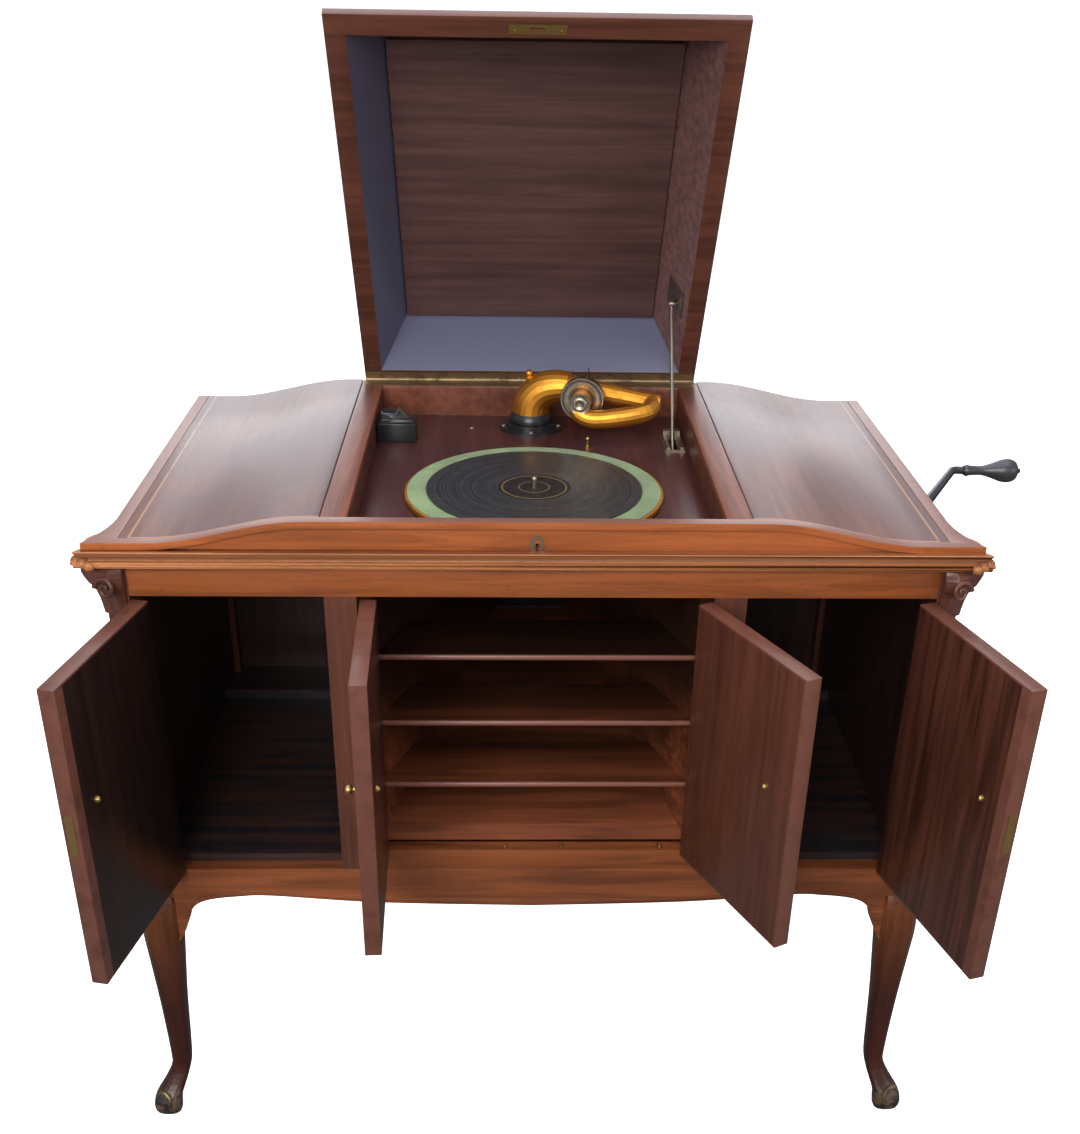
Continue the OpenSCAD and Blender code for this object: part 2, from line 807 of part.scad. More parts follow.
// Solid between a rectangle at the rim and a smaller one h above it
module lid_block(half, u0, u1, h, side_in_at, back_in, front_in) {
    intersection() {
        translate([0, -u0, 0]) rotate([90, 0, 0]) linear_extrude(u1 - u0)
            polygon([[-half, 0], [half, 0], [half - side_in_at, h], [-half + side_in_at, h]]);
        translate([-half, 0, 0]) rotate([90, 0, 90]) linear_extrude(2 * half)
            polygon([[-u0, 0], [-u1, 0], [-u1 + front_in, h], [-u0 - back_in, h]]);
    }
}

lid_wall_h = lid_inner_h + 4;
wall_share = lid_wall_h / lid_inner_h;

module lid_outer(h) {
    s = h / lid_inner_h;
    lid_block(lid_half, 0, lid_len, h, lid_side_in * s, lid_back_in * s, lid_front_in * s);
    lid_block(lid_half, 0, lid_len, lid_base_h, 0, 0, 0);
}

module lid_walls() {
    s = (lid_wall_h + 2) / lid_inner_h;
    color(wood) lid_place() difference() {
        lid_outer(lid_wall_h);
        translate([0, 0, -1]) lid_block(
            lid_half - lid_side_rim + lid_side_in / lid_inner_h, lid_back_rim - lid_back_in / lid_inner_h,
            lid_len - lid_front_rim + lid_front_in / lid_inner_h, lid_wall_h + 2,
            lid_side_in * s, lid_back_in * s, lid_front_in * s);
        translate([-lid_half - 1, -14, -1]) cube([2 * lid_half + 2, 15, 1 + leaf_t]);
        along_x([-lid_half - 1, 0, -lid_gap], lid_barrel_r + 0.4, 2 * lid_half + 2);
        translate([-31, -lid_len + strike_in - 5.5, -1]) cube([62, 11, 2.5]);
    }
}

// Top panel, let into the walls, with a shallow raised field
module lid_panel() {
    inner = lid_half - lid_side_in * wall_share;
    color(wood) lid_place() {
        translate([0, 0, lid_wall_h]) linear_extrude(lid_rise - lid_wall_h - 3) square_panel(inner, 0);
        translate([0, 0, lid_rise - 3]) linear_extrude(3) square_panel(inner, 8);
        translate([0, 0, lid_inner_h - 1]) linear_extrude(lid_wall_h - lid_inner_h + 1)
            square_panel(inner - lid_side_rim - 1, lid_back_rim + 3);
    }
}

module square_panel(half, inset) {
    u0 = lid_back_in * wall_share + inset;
    u1 = lid_len - lid_front_in * wall_share - (inset > 10 ? lid_front_rim + 1 : inset);
    x = inset > 10 ? half : half - inset;
    translate([-x, -u1]) square([2 * x, u1 - u0]);
}

module lid_hinge_moving_leaf() {
    color(brass) difference() {
        union() {
            translate([0, hinge_y, hinge_z]) rotate([-lid_open, 0, 0]) {
                box([-lid_half, -13.5, lid_gap], [lid_half, -3.2, lid_gap + leaf_t]);
                for (i = [1:2:knuckle_n - 1])
                    box([-lid_half + i * knuckle_l + 0.6, -3.3, lid_gap],
                        [-lid_half + (i + 1) * knuckle_l - 0.6, -0.3, lid_gap + leaf_t]);
            }
            lid_knuckles(1);
        }
        along_x([-lid_half - 1, hinge_y, hinge_z], lid_pin_r + 0.05, 2 * lid_half + 2);
    }
}

module strike_plate() {
    color(brass) lid_place() translate([0, -lid_len + strike_in, 0]) difference() {
        box([-31, -5.5, -0.3], [31, 5.5, 1.5]);
        box([-8, -2, -1], [8, 2, 2]);
        for (x = [-25, 25]) translate([x, 0, -1]) cylinder(r = 1.8, h = 1.6);
    }
}

// Plate on the lid's sloping right wall, with the pin that the rod hangs from
module stay_fitting() {
    color(nickel) lid_place() {
        intersection() {
            box([stay_x - 10, -stay_u - 28, 12], [stay_x + 20, -stay_u + 12, 48]);
            difference() {
                lid_block(lid_half - lid_side_rim - 0.1, 0, lid_len, lid_inner_h, lid_side_in, 0, 0);
                lid_block(lid_half - lid_side_rim - 3, 0, lid_len, lid_inner_h, lid_side_in, 0, 0);
            }
        }
        along_x([stay_x - 3.5, -stay_u, stay_v - lid_gap], 1.5, 9);
    }
}

// The rod hangs from the lid's fitting and slides through the bracket as the lid closes
module stay_rod() {
    pivot = [stay_x,
        hinge_y - stay_u * cos(lid_open) + stay_v * sin(lid_open),
        hinge_z + stay_u * sin(lid_open) + stay_v * cos(lid_open)];
    down = [stay_x, stay_eye_y, stay_eye_z] - pivot;
    lean = atan2(-down.y, -down.z);
    color(nickel) translate(pivot) rotate([-lean, 0, 0]) difference() {
        union() {
            translate([0, 0, -norm(down) - 12]) cylinder(r = rod_r, h = norm(down) + 8);
            along_x([-2.4, 0, 0], 5, 4.8);
        }
        along_x([-4, 0, 0], 1.55, 8);
    }
}

// ---- doors ----

// Swings a door, drawn closed with its hinge on the left at x = edge, to its open angle
module swing(edge, angle) {
    translate([edge + gap / 2, front_y - pin_out, 0]) rotate([0, 0, -angle])
        translate([-edge - gap / 2, -front_y + pin_out, 0]) children();
}

module door_slab(edge, w, low, zs) {
    difference() {
        box([edge + gap, front_y, low], [edge + gap + w, front_y + door_t, door_top - gap]);
        for (z = zs)
            box([edge + gap - 1, front_y - 1, z - 0.1],
                [edge + gap + leaf_t, front_y + leaf_l, z + leaf_h + 0.1]);
    }
}

// Knob outside, its bolt head inside, and the two moving leaves
module door_brass(edge, w, zs, from_edge) {
    x = edge + gap + w - from_edge;
    moving_leaf(edge, zs);
    translate([x, front_y, knob_z]) rotate([90, 0, 0]) {
        cylinder(r = 6, h = 1.5);
        cylinder(r = 2.6, h = 8);
        translate([0, 0, 10.5]) sphere(r = 5.5);
    }
    translate([x, front_y + door_t, knob_z]) rotate([-90, 0, 0]) {
        cylinder(r = 4.6, h = 1.2);
        translate([0, 0, 1.2]) intersection() {
            sphere(r = 3.4);
            cylinder(r = 4, h = 4);
        }
    }
}

module lock_plate(edge, w) {
    box([edge + gap + w, front_y + 4, knob_z - 44], [edge + gap + w + 0.8, front_y + 13, knob_z + 4]);
}

module outer_left_door() {
    color(dark_wood) swing(-post_in, outer_left_open) door_slab(-post_in, outer_w, door_low, outer_zs());
}

module outer_right_door() {
    color(dark_wood) mirror([1, 0, 0]) swing(-post_in, outer_right_open)
        door_slab(-post_in, outer_w, door_low, outer_zs());
}

module inner_left_door() {
    color(dark_wood) swing(-mullion_in, inner_left_open)
        door_slab(-mullion_in, inner_w, inner_low, inner_zs());
}

module inner_right_door() {
    color(dark_wood) mirror([1, 0, 0]) swing(-mullion_in, inner_right_open)
        door_slab(-mullion_in, inner_w, inner_low, inner_zs());
}

module outer_brass(angle) {
    color(brass) swing(-post_in, angle) {
        door_brass(-post_in, outer_w, outer_zs(), 41);
        lock_plate(-post_in, outer_w);
    }
}

module inner_brass(angle) {
    color(brass) swing(-mullion_in, angle) door_brass(-mullion_in, inner_w, inner_zs(), 46);
}

module outer_left_brass() {
    outer_brass(outer_left_open);
}

module outer_right_brass() {
    mirror([1, 0, 0]) outer_brass(outer_right_open);
}

module inner_left_brass() {
    inner_brass(inner_left_open);
}

module inner_right_brass() {
    mirror([1, 0, 0]) inner_brass(inner_right_open);
}

// ---- turntable and motor ----

module platter() {
    color(gold) translate([0, turn_y, platter_z]) difference() {
        union() {
            cylinder(r = platter_d / 2, h = platter_t);
            translate([0, 0, -board_t - 1.5]) cylinder(r = 7.5, h = board_t + 1.5);
        }
        translate([0, 0, -board_t - 3]) cylinder(r = 4, h = board_t + 30);
    }
}

module platter_felt() {
    color([0.5, 0.6, 0.4]) translate([0, turn_y, platter_z + platter_t]) difference() {
        cylinder(r = platter_d / 2 - 3, h = felt_t);
        translate([0, 0, -1]) cylinder(r = 4, h = 5);
    }
}

module record() {
    color([0.06, 0.06, 0.07]) translate([0, turn_y, record_z]) difference() {
        cylinder(r = record_d / 2, h = record_t);
        translate([0, 0, -1]) cylinder(r = 3.65, h = 5);
    }
}

// Shaft from the motor, stepped down to the record pin, with its pinion
module spindle() {
    color(nickel) translate([0, turn_y, 0]) {
        translate([0, 0, motor_top - 23]) cylinder(r = 4, h = record_z - motor_top + 23);
        translate([0, 0, record_z]) cylinder(r = 3.62, h = record_t);
        translate([0, 0, record_z + record_t]) cylinder(r = pin_r, h = pin_h);
        translate([0, 0, record_z + record_t + pin_h]) sphere(r = pin_r);
        translate([0, 0, motor_top - 20]) cylinder(r = 9, h = 6);
    }
}

// Drum that holds the mainspring, with the great wheel on its end
module spring_barrel() {
    color(iron) difference() {
        union() {
            along_x([-40, barrel_y, barrel_z], barrel_r, 76);
            along_x([36, barrel_y, barrel_z], barrel_r + 2, 5);
        }
        along_x([-41, barrel_y, barrel_z], 4.05, 84);
    }
}

// Arbor through the drum, with the gear that the crank's pinion winds
module spring_arbor() {
    color(nickel) {
        along_x([-cheek_in - cheek_t, barrel_y, barrel_z], 4, 2 * (cheek_in + cheek_t) + 4);
        along_x([cheek_in + cheek_t + 2, barrel_y, barrel_z], wind_gear_r, 6);
    }
}

module governor() {
    color(brass) {
        along_x([-cheek_in - cheek_t, governor_y, governor_z], 2, 2 * (cheek_in + cheek_t));
        for (x = [-22, 14]) along_x([x, governor_y, governor_z], 7, 8);
        along_x([-4, governor_y, governor_z], 14, 3);
    }
}

// ---- crank ----

arm_x = side_out + 26;

module crank_arm() {
    c = cos(crank_turn);
    s = sin(crank_turn);
    tip = [arm_x + crank_lean, crank_y + crank_r * c, crank_z + crank_r * s];
    color(iron) union() {
        along_x([cheek_in - 2, crank_y, crank_z], 6, arm_x - cheek_in + 2);
        along_x([cheek_in + cheek_t + 2, crank_y, crank_z], pinion_r, 6);
        bent_tube([
            [arm_x - 8, crank_y, crank_z, 6.5], [arm_x, crank_y, crank_z, 6.5],
            [arm_x + crank_lean * 0.12, crank_y + 10 * c, crank_z + 10 * s, 6],
            [tip.x - crank_lean * 0.12, tip.y - 10 * c, tip.z - 10 * s, 5], [tip.x, tip.y, tip.z, 5],
            [tip.x + 12, tip.y, tip.z, 5]
        ], [0, 0, 1], 12, 4);
        along_x(tip + [10, 0, 0], 3, handle_l - 6);
    }
}

// Turned pear-shaped grip with a ferrule: [along, radius]
handle_profile = [[0, 6], [4, 7.5], [8, 6.5], [22, 6], [34, 9], [48, 14], [58, 15], [66, 12], [70, 5]];

module crank_handle() {
    c = cos(crank_turn);
    s = sin(crank_turn);
    path = spline(handle_profile, 4);
    translate([arm_x + crank_lean + 13, crank_y + crank_r * c, crank_z + crank_r * s]) rotate([0, 90, 0])
        color(iron) rotate_extrude()
            polygon(concat([[3.05, 0]], [for (p = path) [p[1], p[0]]], [[3.05, 70]]));
}

// ---- tone arm ----

elbow_end = [50, arm_y - 13, board_z + 60];
arm_end = [158, arm_y - 33, board_z + 45];
arm_slant = atan2(elbow_end.y - arm_end.y, arm_end.x - elbow_end.x);

// A point given from the arm's end: along the arm, across it (minus is towards the front), and up
function arm_point(along, across, up) = [
    arm_end.x + along * cos(arm_slant) + across * sin(arm_slant),
    arm_end.y - along * sin(arm_slant) + across * cos(arm_slant),
    arm_end.z + up
];
function station(p, r) = [p.x, p.y, p.z, r];

module tonearm() {
    color(gold) union() {
        translate([0, arm_y, board_z + 5.1]) cylinder(r = 26, h = 8);
        bent_tube([
            [0, arm_y, board_z + 10, 25], [0, arm_y, board_z + 24, 24.5], [4, arm_y - 1, board_z + 40, 24],
            [16, arm_y - 4, board_z + 53, 23], [33, arm_y - 9, board_z + 59, 21], station(elbow_end, 19)
        ], [0, 1, 0], 20, 4);
        bent_tube([
            station(elbow_end + [-4, 1, 0.5], 15), station(elbow_end + [30, -5.5, -4], 14),
            station(arm_end + [-22, 4, 3], 12.5), station(arm_end, 12), station(arm_point(11, 0, 0), 11)
        ], [0, 1, 0], 16, 4);
        translate(arm_end) rotate([90, 0, -arm_slant]) cylinder(r = 11, h = 15);
        translate([-3, arm_y, board_z + 66]) cylinder(r = 4.5, h = 7);
        translate([-3, arm_y, board_z + 73]) sphere(r = 5);
    }
}

// The tube that turns back from the arm's end and carries the sound box
module gooseneck() {
    color(gold) union() {
        bent_tube([
            station(arm_point(0, -15.5, 0), 11), station(arm_point(0, -19, 0), 11.2),
            station(arm_point(0, -25, 0), 11.5),
            station(arm_point(-8, -42, -2), 11.8), station(arm_point(-40, -52, -7), 12),
            station(arm_point(-72, -52, -11), 11.5), station(arm_point(-90, -51, -5), 10.5),
            station(arm_point(-93, -50, 5), 9)
        ], [0, 0, 1], 16, 4);
        translate(arm_point(-88, 0, 9)) rotate([90, 0, -arm_slant])
            translate([0, 0, box_back + 0.2]) cylinder(r = 13, h = 22);
    }
}

box_back = 37.5;      // back of the sound box, across from the arm
box_r = 28;
needle_turn = 80;

// Sound box on the gooseneck's end, its needle pointing up while it is folded back
module sound_box() {
    translate(arm_point(-88, 0, 9)) rotate([90, 0, -arm_slant]) {
        color([0.25, 0.27, 0.28]) {
            translate([0, 0, box_back - 10]) cylinder(r = box_r, h = 9);
            translate([0, 0, box_back - 1]) cylinder(r = 17, h = 1);
        }
        color(nickel) rotate([0, 0, needle_turn]) {
            along_x([box_r - 2, 0, box_back - 6], 2.5, 9);
            along_x([box_r + 6, 0, box_back - 6], 0.8, 8);
        }
    }
}

front_left_leg();
front_right_leg();
rear_legs();
left_side_panel();
right_side_panel();
back_panel();
bottom_board();
partitions();
front_rail();
front_board();
belt_moulding();
front_apron();
centre_sill();
inner_boards();
left_top_panel();
right_top_panel();
top_moulding();
well_frame();
motorboard();
scroll_capitals();
horn_boards();
louvres();
horn_elbow();
door_hinge_leaves();
lid_hinge_fixed_leaf();
lid_lock();
door_catches();
motor_frame();
needle_box();
arm_rest_post();
stay_bracket();
tonearm_base();
board_screws();
crank_bush();
lid_walls();
lid_panel();
lid_hinge_moving_leaf();
strike_plate();
stay_fitting();
stay_rod();
outer_left_door();
outer_right_door();
inner_left_door();
inner_right_door();
outer_left_brass();
outer_right_brass();
inner_left_brass();
inner_right_brass();
platter();
platter_felt();
record();
spindle();
spring_barrel();
spring_arbor();
governor();
crank_arm();
crank_handle();
tonearm();
gooseneck();
sound_box();
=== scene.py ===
"""Finishes and fine detail of a hump-backed console gramophone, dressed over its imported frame."""

import json
import math

import bpy
from mathutils import Matrix, Vector

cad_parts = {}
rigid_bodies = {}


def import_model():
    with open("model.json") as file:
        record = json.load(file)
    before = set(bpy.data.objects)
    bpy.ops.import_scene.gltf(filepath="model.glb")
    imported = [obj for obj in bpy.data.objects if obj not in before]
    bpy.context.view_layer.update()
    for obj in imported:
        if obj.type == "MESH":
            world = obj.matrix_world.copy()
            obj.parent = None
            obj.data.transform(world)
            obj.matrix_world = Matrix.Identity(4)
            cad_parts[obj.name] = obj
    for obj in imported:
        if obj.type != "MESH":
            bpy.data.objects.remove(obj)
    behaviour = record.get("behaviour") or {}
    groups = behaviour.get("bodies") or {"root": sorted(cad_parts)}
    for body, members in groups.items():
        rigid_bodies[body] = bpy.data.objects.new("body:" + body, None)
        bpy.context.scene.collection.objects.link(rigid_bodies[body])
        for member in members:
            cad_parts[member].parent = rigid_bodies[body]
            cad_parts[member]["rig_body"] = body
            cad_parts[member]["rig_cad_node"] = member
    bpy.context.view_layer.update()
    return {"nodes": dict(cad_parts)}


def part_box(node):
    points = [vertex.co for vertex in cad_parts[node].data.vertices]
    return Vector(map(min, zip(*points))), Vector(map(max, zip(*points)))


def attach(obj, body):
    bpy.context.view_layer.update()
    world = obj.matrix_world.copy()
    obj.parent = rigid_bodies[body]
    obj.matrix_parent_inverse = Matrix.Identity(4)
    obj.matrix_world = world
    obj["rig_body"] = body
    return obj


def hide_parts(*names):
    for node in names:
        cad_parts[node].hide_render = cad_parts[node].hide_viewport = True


bl_info = {
    "name": "Console gramophone",
    "version": (1, 0, 0),
    "blender": (4, 5, 0),
    "location": "View3D > Sidebar > Gramophone",
    "description": "Mahogany, gilt and nickel finishes for a console gramophone",
    "category": "Object",
}

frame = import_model()

NODES = frame["nodes"]
MM = 0.001
UPRIGHT = (0.0, 0.0, 1.0)
SMOOTH_ANGLE = math.radians(38)
WELD = 0.00002  # corners of a CAD mesh closer than this become one

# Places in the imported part, in metres. Those at a corner are for the right one.
CARCASS_SIDE = 0.4535
CARCASS_BACK = 0.2485
INLAY_SIDE = 0.432
INLAY_FRONT = -0.246
LABEL_RADIUS = 0.043
DOOR_PIVOT_Y = -0.2623
OUTER_PIVOT_X = 0.43525
INNER_PIVOT_X = 0.19325
OUTER_WIDTH = 0.1920
INNER_WIDTH = 0.1910
OUTER_HEIGHTS = (0.3915, 0.7495)  # foot and top of a leaf
INNER_HEIGHTS = (0.4195, 0.7495)
LID_HINGE = (0.2595, 0.8385)  # y and z of its pin
LID_OPEN = 60.4  # degrees
LID_HALF_WIDTH = 0.2048  # of the hollow, at the rim
LID_FRONT = 0.5062  # the hollow's front and rear at the rim, out from the hinge
LID_REAR = 0.0150
LID_LEAN = {"side": 0.4, "rear": 0.275, "front": 0.65}  # how far a wall leans in for each metre up
VOLUTE_PLACE = (0.4560, -0.2745, 0.7655)
VOLUTE_FACING = (0.38, -0.92, 0.12)
WHORL_PLACE = (0.4815, -0.2755, 0.027)
WHORL_FACING = (0.45, -0.88, 0.15)
VOLUTE_BEAD = 0.0029  # radius of the bead that winds in, at its thick end
WHORL_BEAD = 0.0034
EAR_PLACE = (0.4615, -0.2345)
LOBE_RADIUS = 0.0058
LEAF_LOBES = (  # length, place and facing
    (0.019, (0.4835, -0.2625, 0.7945), (1.0, -0.75, -0.55)),
    (0.016, (0.4765, -0.2670, 0.7930), (0.75, -0.75, -0.55)),
    (0.013, (0.4695, -0.2715, 0.7915), (0.5, -0.75, -0.55)),
)

# Turned shapes as (radius, height) steps in millimetres
ARM_COLLAR = ((26.6, 0.0), (28.6, 1.0), (28.6, 6.0), (27.4, 8.0), (26.0, 11.0), (25.2, 12.0))
BOX_RIDGES = (
    (27.0, -9.4), (28.5, -8.8), (28.5, -0.8), (27.6, 0.7), (26.4, 0.7), (25.6, -0.3), (23.6, -0.3),
    (22.9, 1.0), (21.6, 1.0), (20.9, 0.1), (19.0, 0.1), (18.4, 1.3), (16.6, 1.3), (15.9, 0.6), (14.0, 0.6),
)
BARREL_CAP = (
    (13.2, -4.0), (13.9, -3.4), (13.9, -0.6), (13.2, 0.5), (12.0, 0.5), (11.2, -0.1), (9.4, -0.1),
    (8.6, 0.9), (5.2, 1.1), (4.6, 0.5), (1.2, 0.5),
)
BOX_AXIS = (71.5, 166.0, 851.0)  # the point of the sound box's axis that is level with the arm
BOX_FACING = (-0.1822, -0.9833, 0.0)
BOX_FACE = 36.7  # along the axis, as the barrel's end is
BARREL_END = 59.9
EAR_PROFILE = (  # its heights are shares of the belt's height
    (20.5, 0.0), (23.2, 0.10), (24.2, 0.22), (23.4, 0.33), (20.4, 0.42), (18.2, 0.55), (18.6, 0.74),
    (20.6, 0.84), (21.0, 0.94), (20.4, 1.0),
)

# Colours of dirt, wear and the smaller metal parts, and of the painted shade and painted light noted below
# Painted shade for the horn's depths
PAINTED_HORN_SHADE = (0.006, 0.004, 0.003)
# Painted shade for the belt's cove and the underside of its lower bead
PAINTED_COVE_SHADE = (0.05, 0.014, 0.006)
# Painted light: a lighter brown for the lit floor of the compartments
PAINTED_FLOOR_LIGHT = (0.050, 0.020, 0.013)
# Painted highlight for the louvres' front edges
PAINTED_EDGE_HIGHLIGHT = (0.26, 0.105, 0.075)
# Darker colour for the feet towards the floor
FOOT_DARK = (0.020, 0.017, 0.016)
FOOT_BARE = (0.13, 0.085, 0.05)
TARNISH = (0.10, 0.06, 0.03)
GILT_TARNISH = (0.35, 0.14, 0.02)
NICKEL_TARNISH = (0.09, 0.07, 0.05)
GILDING_DIRT = (0.05, 0.04, 0.035)
OLD_BRASS = (0.36, 0.27, 0.16)
GUNMETAL = (0.13, 0.12, 0.12)
WORN_GILDING = (0.30, 0.22, 0.12)
CLIP_STEEL = (0.20, 0.19, 0.18)
ENAMEL = (0.016, 0.016, 0.018)
CRANK_GRIP = (0.035, 0.034, 0.037)
CHIPPED_IRON = (0.10, 0.075, 0.055)
FELT_FLUFF = (0.42, 0.50, 0.26)
RECORD_BLACK = (0.022, 0.024, 0.026)
RECORD_GREY = (0.055, 0.058, 0.060)
RECORD_DUST = (0.10, 0.09, 0.08)
LABEL_DARK = (0.012, 0.010, 0.010)
LABEL_FADED = (0.030, 0.022, 0.016)
LABEL_GOLD = (0.34, 0.22, 0.075)

LAMPS = (  # name, place, target, size in metres, power in watts, colour
    ("sky_above", (0.0, 0.3, 3.6), (0.0, 0.1, 0.8), 3.4, 80.0, (0.86, 0.92, 1.0)),
    ("sky_behind", (0.0, 4.2, 2.6), (0.0, 0.0, 0.8), 4.0, 80.0, (0.96, 0.97, 1.0)),
    ("window_front", (-0.9, -3.4, 2.4), (0.0, 0.0, 0.5), 2.2, 115.0, (1.0, 0.98, 0.95)),
    ("window_right", (2.8, -2.0, 1.7), (0.0, 0.0, 0.5), 1.6, 22.0, (1.0, 0.96, 0.92)),
)
FLOOR_SIZE = 60.0  # metres; the camera sees as far


# ---- sizes and colours a user would change ----


class GramophoneWood(bpy.types.PropertyGroup):
    """Colours of the mahogany in its different places"""

    red: bpy.props.FloatVectorProperty(
        name="Red mahogany", description="Posts, partitions, lid walls and the polished outside",
        subtype="COLOR", default=(0.105, 0.034, 0.020),
    )
    orange: bpy.props.FloatVectorProperty(
        name="Light mahogany", description="Rails, mouldings and apron", subtype="COLOR",
        default=(0.240, 0.066, 0.018),
    )
    dark: bpy.props.FloatVectorProperty(
        name="Dark mahogany", description="Outer left door, and the carcass within", subtype="COLOR",
        default=(0.030, 0.014, 0.011),
    )
    right: bpy.props.FloatVectorProperty(
        name="Ribbon mahogany", description="Right doors and the inner left one", subtype="COLOR",
        default=(0.066, 0.021, 0.012),
    )
    top: bpy.props.FloatVectorProperty(
        name="Top", description="Sun-bleached wood of the humped top", subtype="COLOR",
        default=(0.20, 0.095, 0.072),
    )
    bloom: bpy.props.FloatVectorProperty(
        name="Bloom", description="Grey haze in old varnish", subtype="COLOR", default=(0.16, 0.115, 0.115)
    )
    rubbed: bpy.props.FloatVectorProperty(
        name="Rubbed edges", description="Bare wood along the doors' edges", subtype="COLOR",
        default=(0.155, 0.056, 0.037),
    )
    inlay: bpy.props.FloatVectorProperty(
        name="Inlay", description="Light line let into the top", subtype="COLOR", default=(0.48, 0.27, 0.17)
    )
    board: bpy.props.FloatVectorProperty(
        name="Motorboard", description="Floor of the well", subtype="COLOR", default=(0.072, 0.022, 0.019)
    )
    belt: bpy.props.FloatVectorProperty(
        name="Belt", description="Polished beads below the top", subtype="COLOR",
        default=(0.47, 0.175, 0.062),
    )
    leg: bpy.props.FloatVectorProperty(
        name="Legs", description="Cabriole legs", subtype="COLOR", default=(0.036, 0.0080, 0.0032)
    )
    horn: bpy.props.FloatVectorProperty(
        name="Horn", description="Boards and louvres of the horn", subtype="COLOR",
        default=(0.165, 0.046, 0.019),
    )
    lid_inside: bpy.props.FloatVectorProperty(
        name="Lid inside", description="Panel and walls in the lid's hollow", subtype="COLOR",
        default=(0.082, 0.042, 0.038),
    )
    # Painted reflection of the sky, laid as colour on the lid's rear and left walls
    painted_sky_sheen: bpy.props.FloatVectorProperty(
        name="Sheen", description="Cool sheen on the lid's rear and left walls", subtype="COLOR",
        default=(0.125, 0.125, 0.20),
    )
    # Painted shade: this near-black is given to the compartments' boards in place of the shade inside them
    black: bpy.props.FloatVectorProperty(
        name="Bare inside", description="Compartments behind the doors", subtype="COLOR",
        default=(0.009, 0.009, 0.012),
    )
    grain: bpy.props.FloatProperty(
        name="Grain spacing", description="Typical distance between grain lines", default=0.011,
        unit="LENGTH",
    )


class GramophoneDoors(bpy.types.PropertyGroup):
    """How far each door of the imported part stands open, in degrees; its finish is laid by this"""

    outer_left: bpy.props.FloatProperty(
        name="Outer left", description="Opening of the outer left door", default=102
    )
    outer_right: bpy.props.FloatProperty(
        name="Outer right", description="Opening of the outer right door", default=106
    )
    inner_left: bpy.props.FloatProperty(
        name="Inner left", description="Opening of the inner left door", default=88
    )
    inner_right: bpy.props.FloatProperty(
        name="Inner right", description="Opening of the inner right door", default=116
    )


class GramophoneMetal(bpy.types.PropertyGroup):
    """Colours of metal, felt and shellac"""

    gilt: bpy.props.FloatVectorProperty(
        name="Gilt", description="Tone arm and turntable rim", subtype="COLOR", default=(0.80, 0.36, 0.050)
    )
    brass: bpy.props.FloatVectorProperty(
        name="Brass", description="Door hinges, knobs, catches and the rest post", subtype="COLOR",
        default=(0.52, 0.36, 0.13),
    )
    nickel: bpy.props.FloatVectorProperty(
        name="Nickel", description="Stay, lid lock, screws and sound-box rings", subtype="COLOR",
        default=(0.42, 0.36, 0.28),
    )
    felt: bpy.props.FloatVectorProperty(
        name="Felt", description="Turntable felt", subtype="COLOR", default=(0.205, 0.30, 0.105)
    )
    groove: bpy.props.FloatProperty(
        name="Groove spacing", description="Distance between the record's visible grooves", default=0.0011,
        unit="LENGTH",
    )


class GramophoneStage(bpy.types.PropertyGroup):
    """The photograph's camera; yaw, pitch and roll are in degrees"""

    camera: bpy.props.FloatVectorProperty(
        name="Camera", description="Where the camera stands", subtype="TRANSLATION",
        default=(-0.0327, -1.5988, 1.375),
    )
    yaw: bpy.props.FloatProperty(name="Yaw", description="Turn to the right", default=1.8276)
    pitch: bpy.props.FloatProperty(name="Pitch", description="Tilt above the horizon", default=-29.4957)
    roll: bpy.props.FloatProperty(name="Roll", description="Roll of the camera", default=0.9836)
    lens: bpy.props.FloatProperty(name="Lens", description="Focal length on a 36 mm sensor", default=43.35)
    shift: bpy.props.FloatVectorProperty(
        name="Shift", description="Lens shift for the photograph's framing", size=2,
        default=(-0.0035, 0.1224),
    )


class GramophoneDetail(bpy.types.PropertyGroup):
    """Fine shapes that the CAD parts leave out"""

    edge: bpy.props.FloatProperty(
        name="Edge", description="Radius worn onto the doors and boards", default=0.0011, unit="LENGTH"
    )
    nose: bpy.props.FloatProperty(
        name="Nose", description="Radius along the top moulding's upper edge", default=0.0035, unit="LENGTH"
    )
    volute: bpy.props.FloatProperty(
        name="Volute", description="Radius of the scroll carved on each capital", default=0.0135,
        unit="LENGTH",
    )
    whorl: bpy.props.FloatProperty(
        name="Whorl", description="Radius of the scroll carved on each front foot", default=0.0135,
        unit="LENGTH",
    )


# ---- shader maths ----


class Value:
    """A socket that takes part in arithmetic"""

    def __init__(self, kit, socket):
        self.kit = kit
        self.socket = socket

    def _maths(self, operation, *values):
        return self.kit.add("ShaderNodeMath", {"operation": operation}, dict(enumerate(values)))

    def __add__(self, other):
        return self._maths("ADD", self, other)

    def __sub__(self, other):
        return self._maths("SUBTRACT", self, other)

    def __rsub__(self, other):
        return self._maths("SUBTRACT", other, self)

    def __mul__(self, other):
        return self._maths("MULTIPLY", self, other)

    def __truediv__(self, other):
        return self._maths("DIVIDE", self, other)

    def power(self, exponent):
        return self._maths("POWER", self, exponent)

    def sine(self):
        return self._maths("SINE", self)

    def size(self):
        return self._maths("ABSOLUTE", self)

    def least(self, other):
        return self._maths("MINIMUM", self, other)

    def most(self, other):
        return self._maths("MAXIMUM", self, other)

    def above(self, low, high):
        """0 below low, 1 above high, and eased between them; low may be the larger"""
        if low > high:
            return 1 - self.above(high, low)
        settings = {"interpolation_type": "SMOOTHSTEP", "clamp": True}
        values = {"Value": self, "From Min": low, "From Max": high}
        return self.kit.add("ShaderNodeMapRange", settings, values)


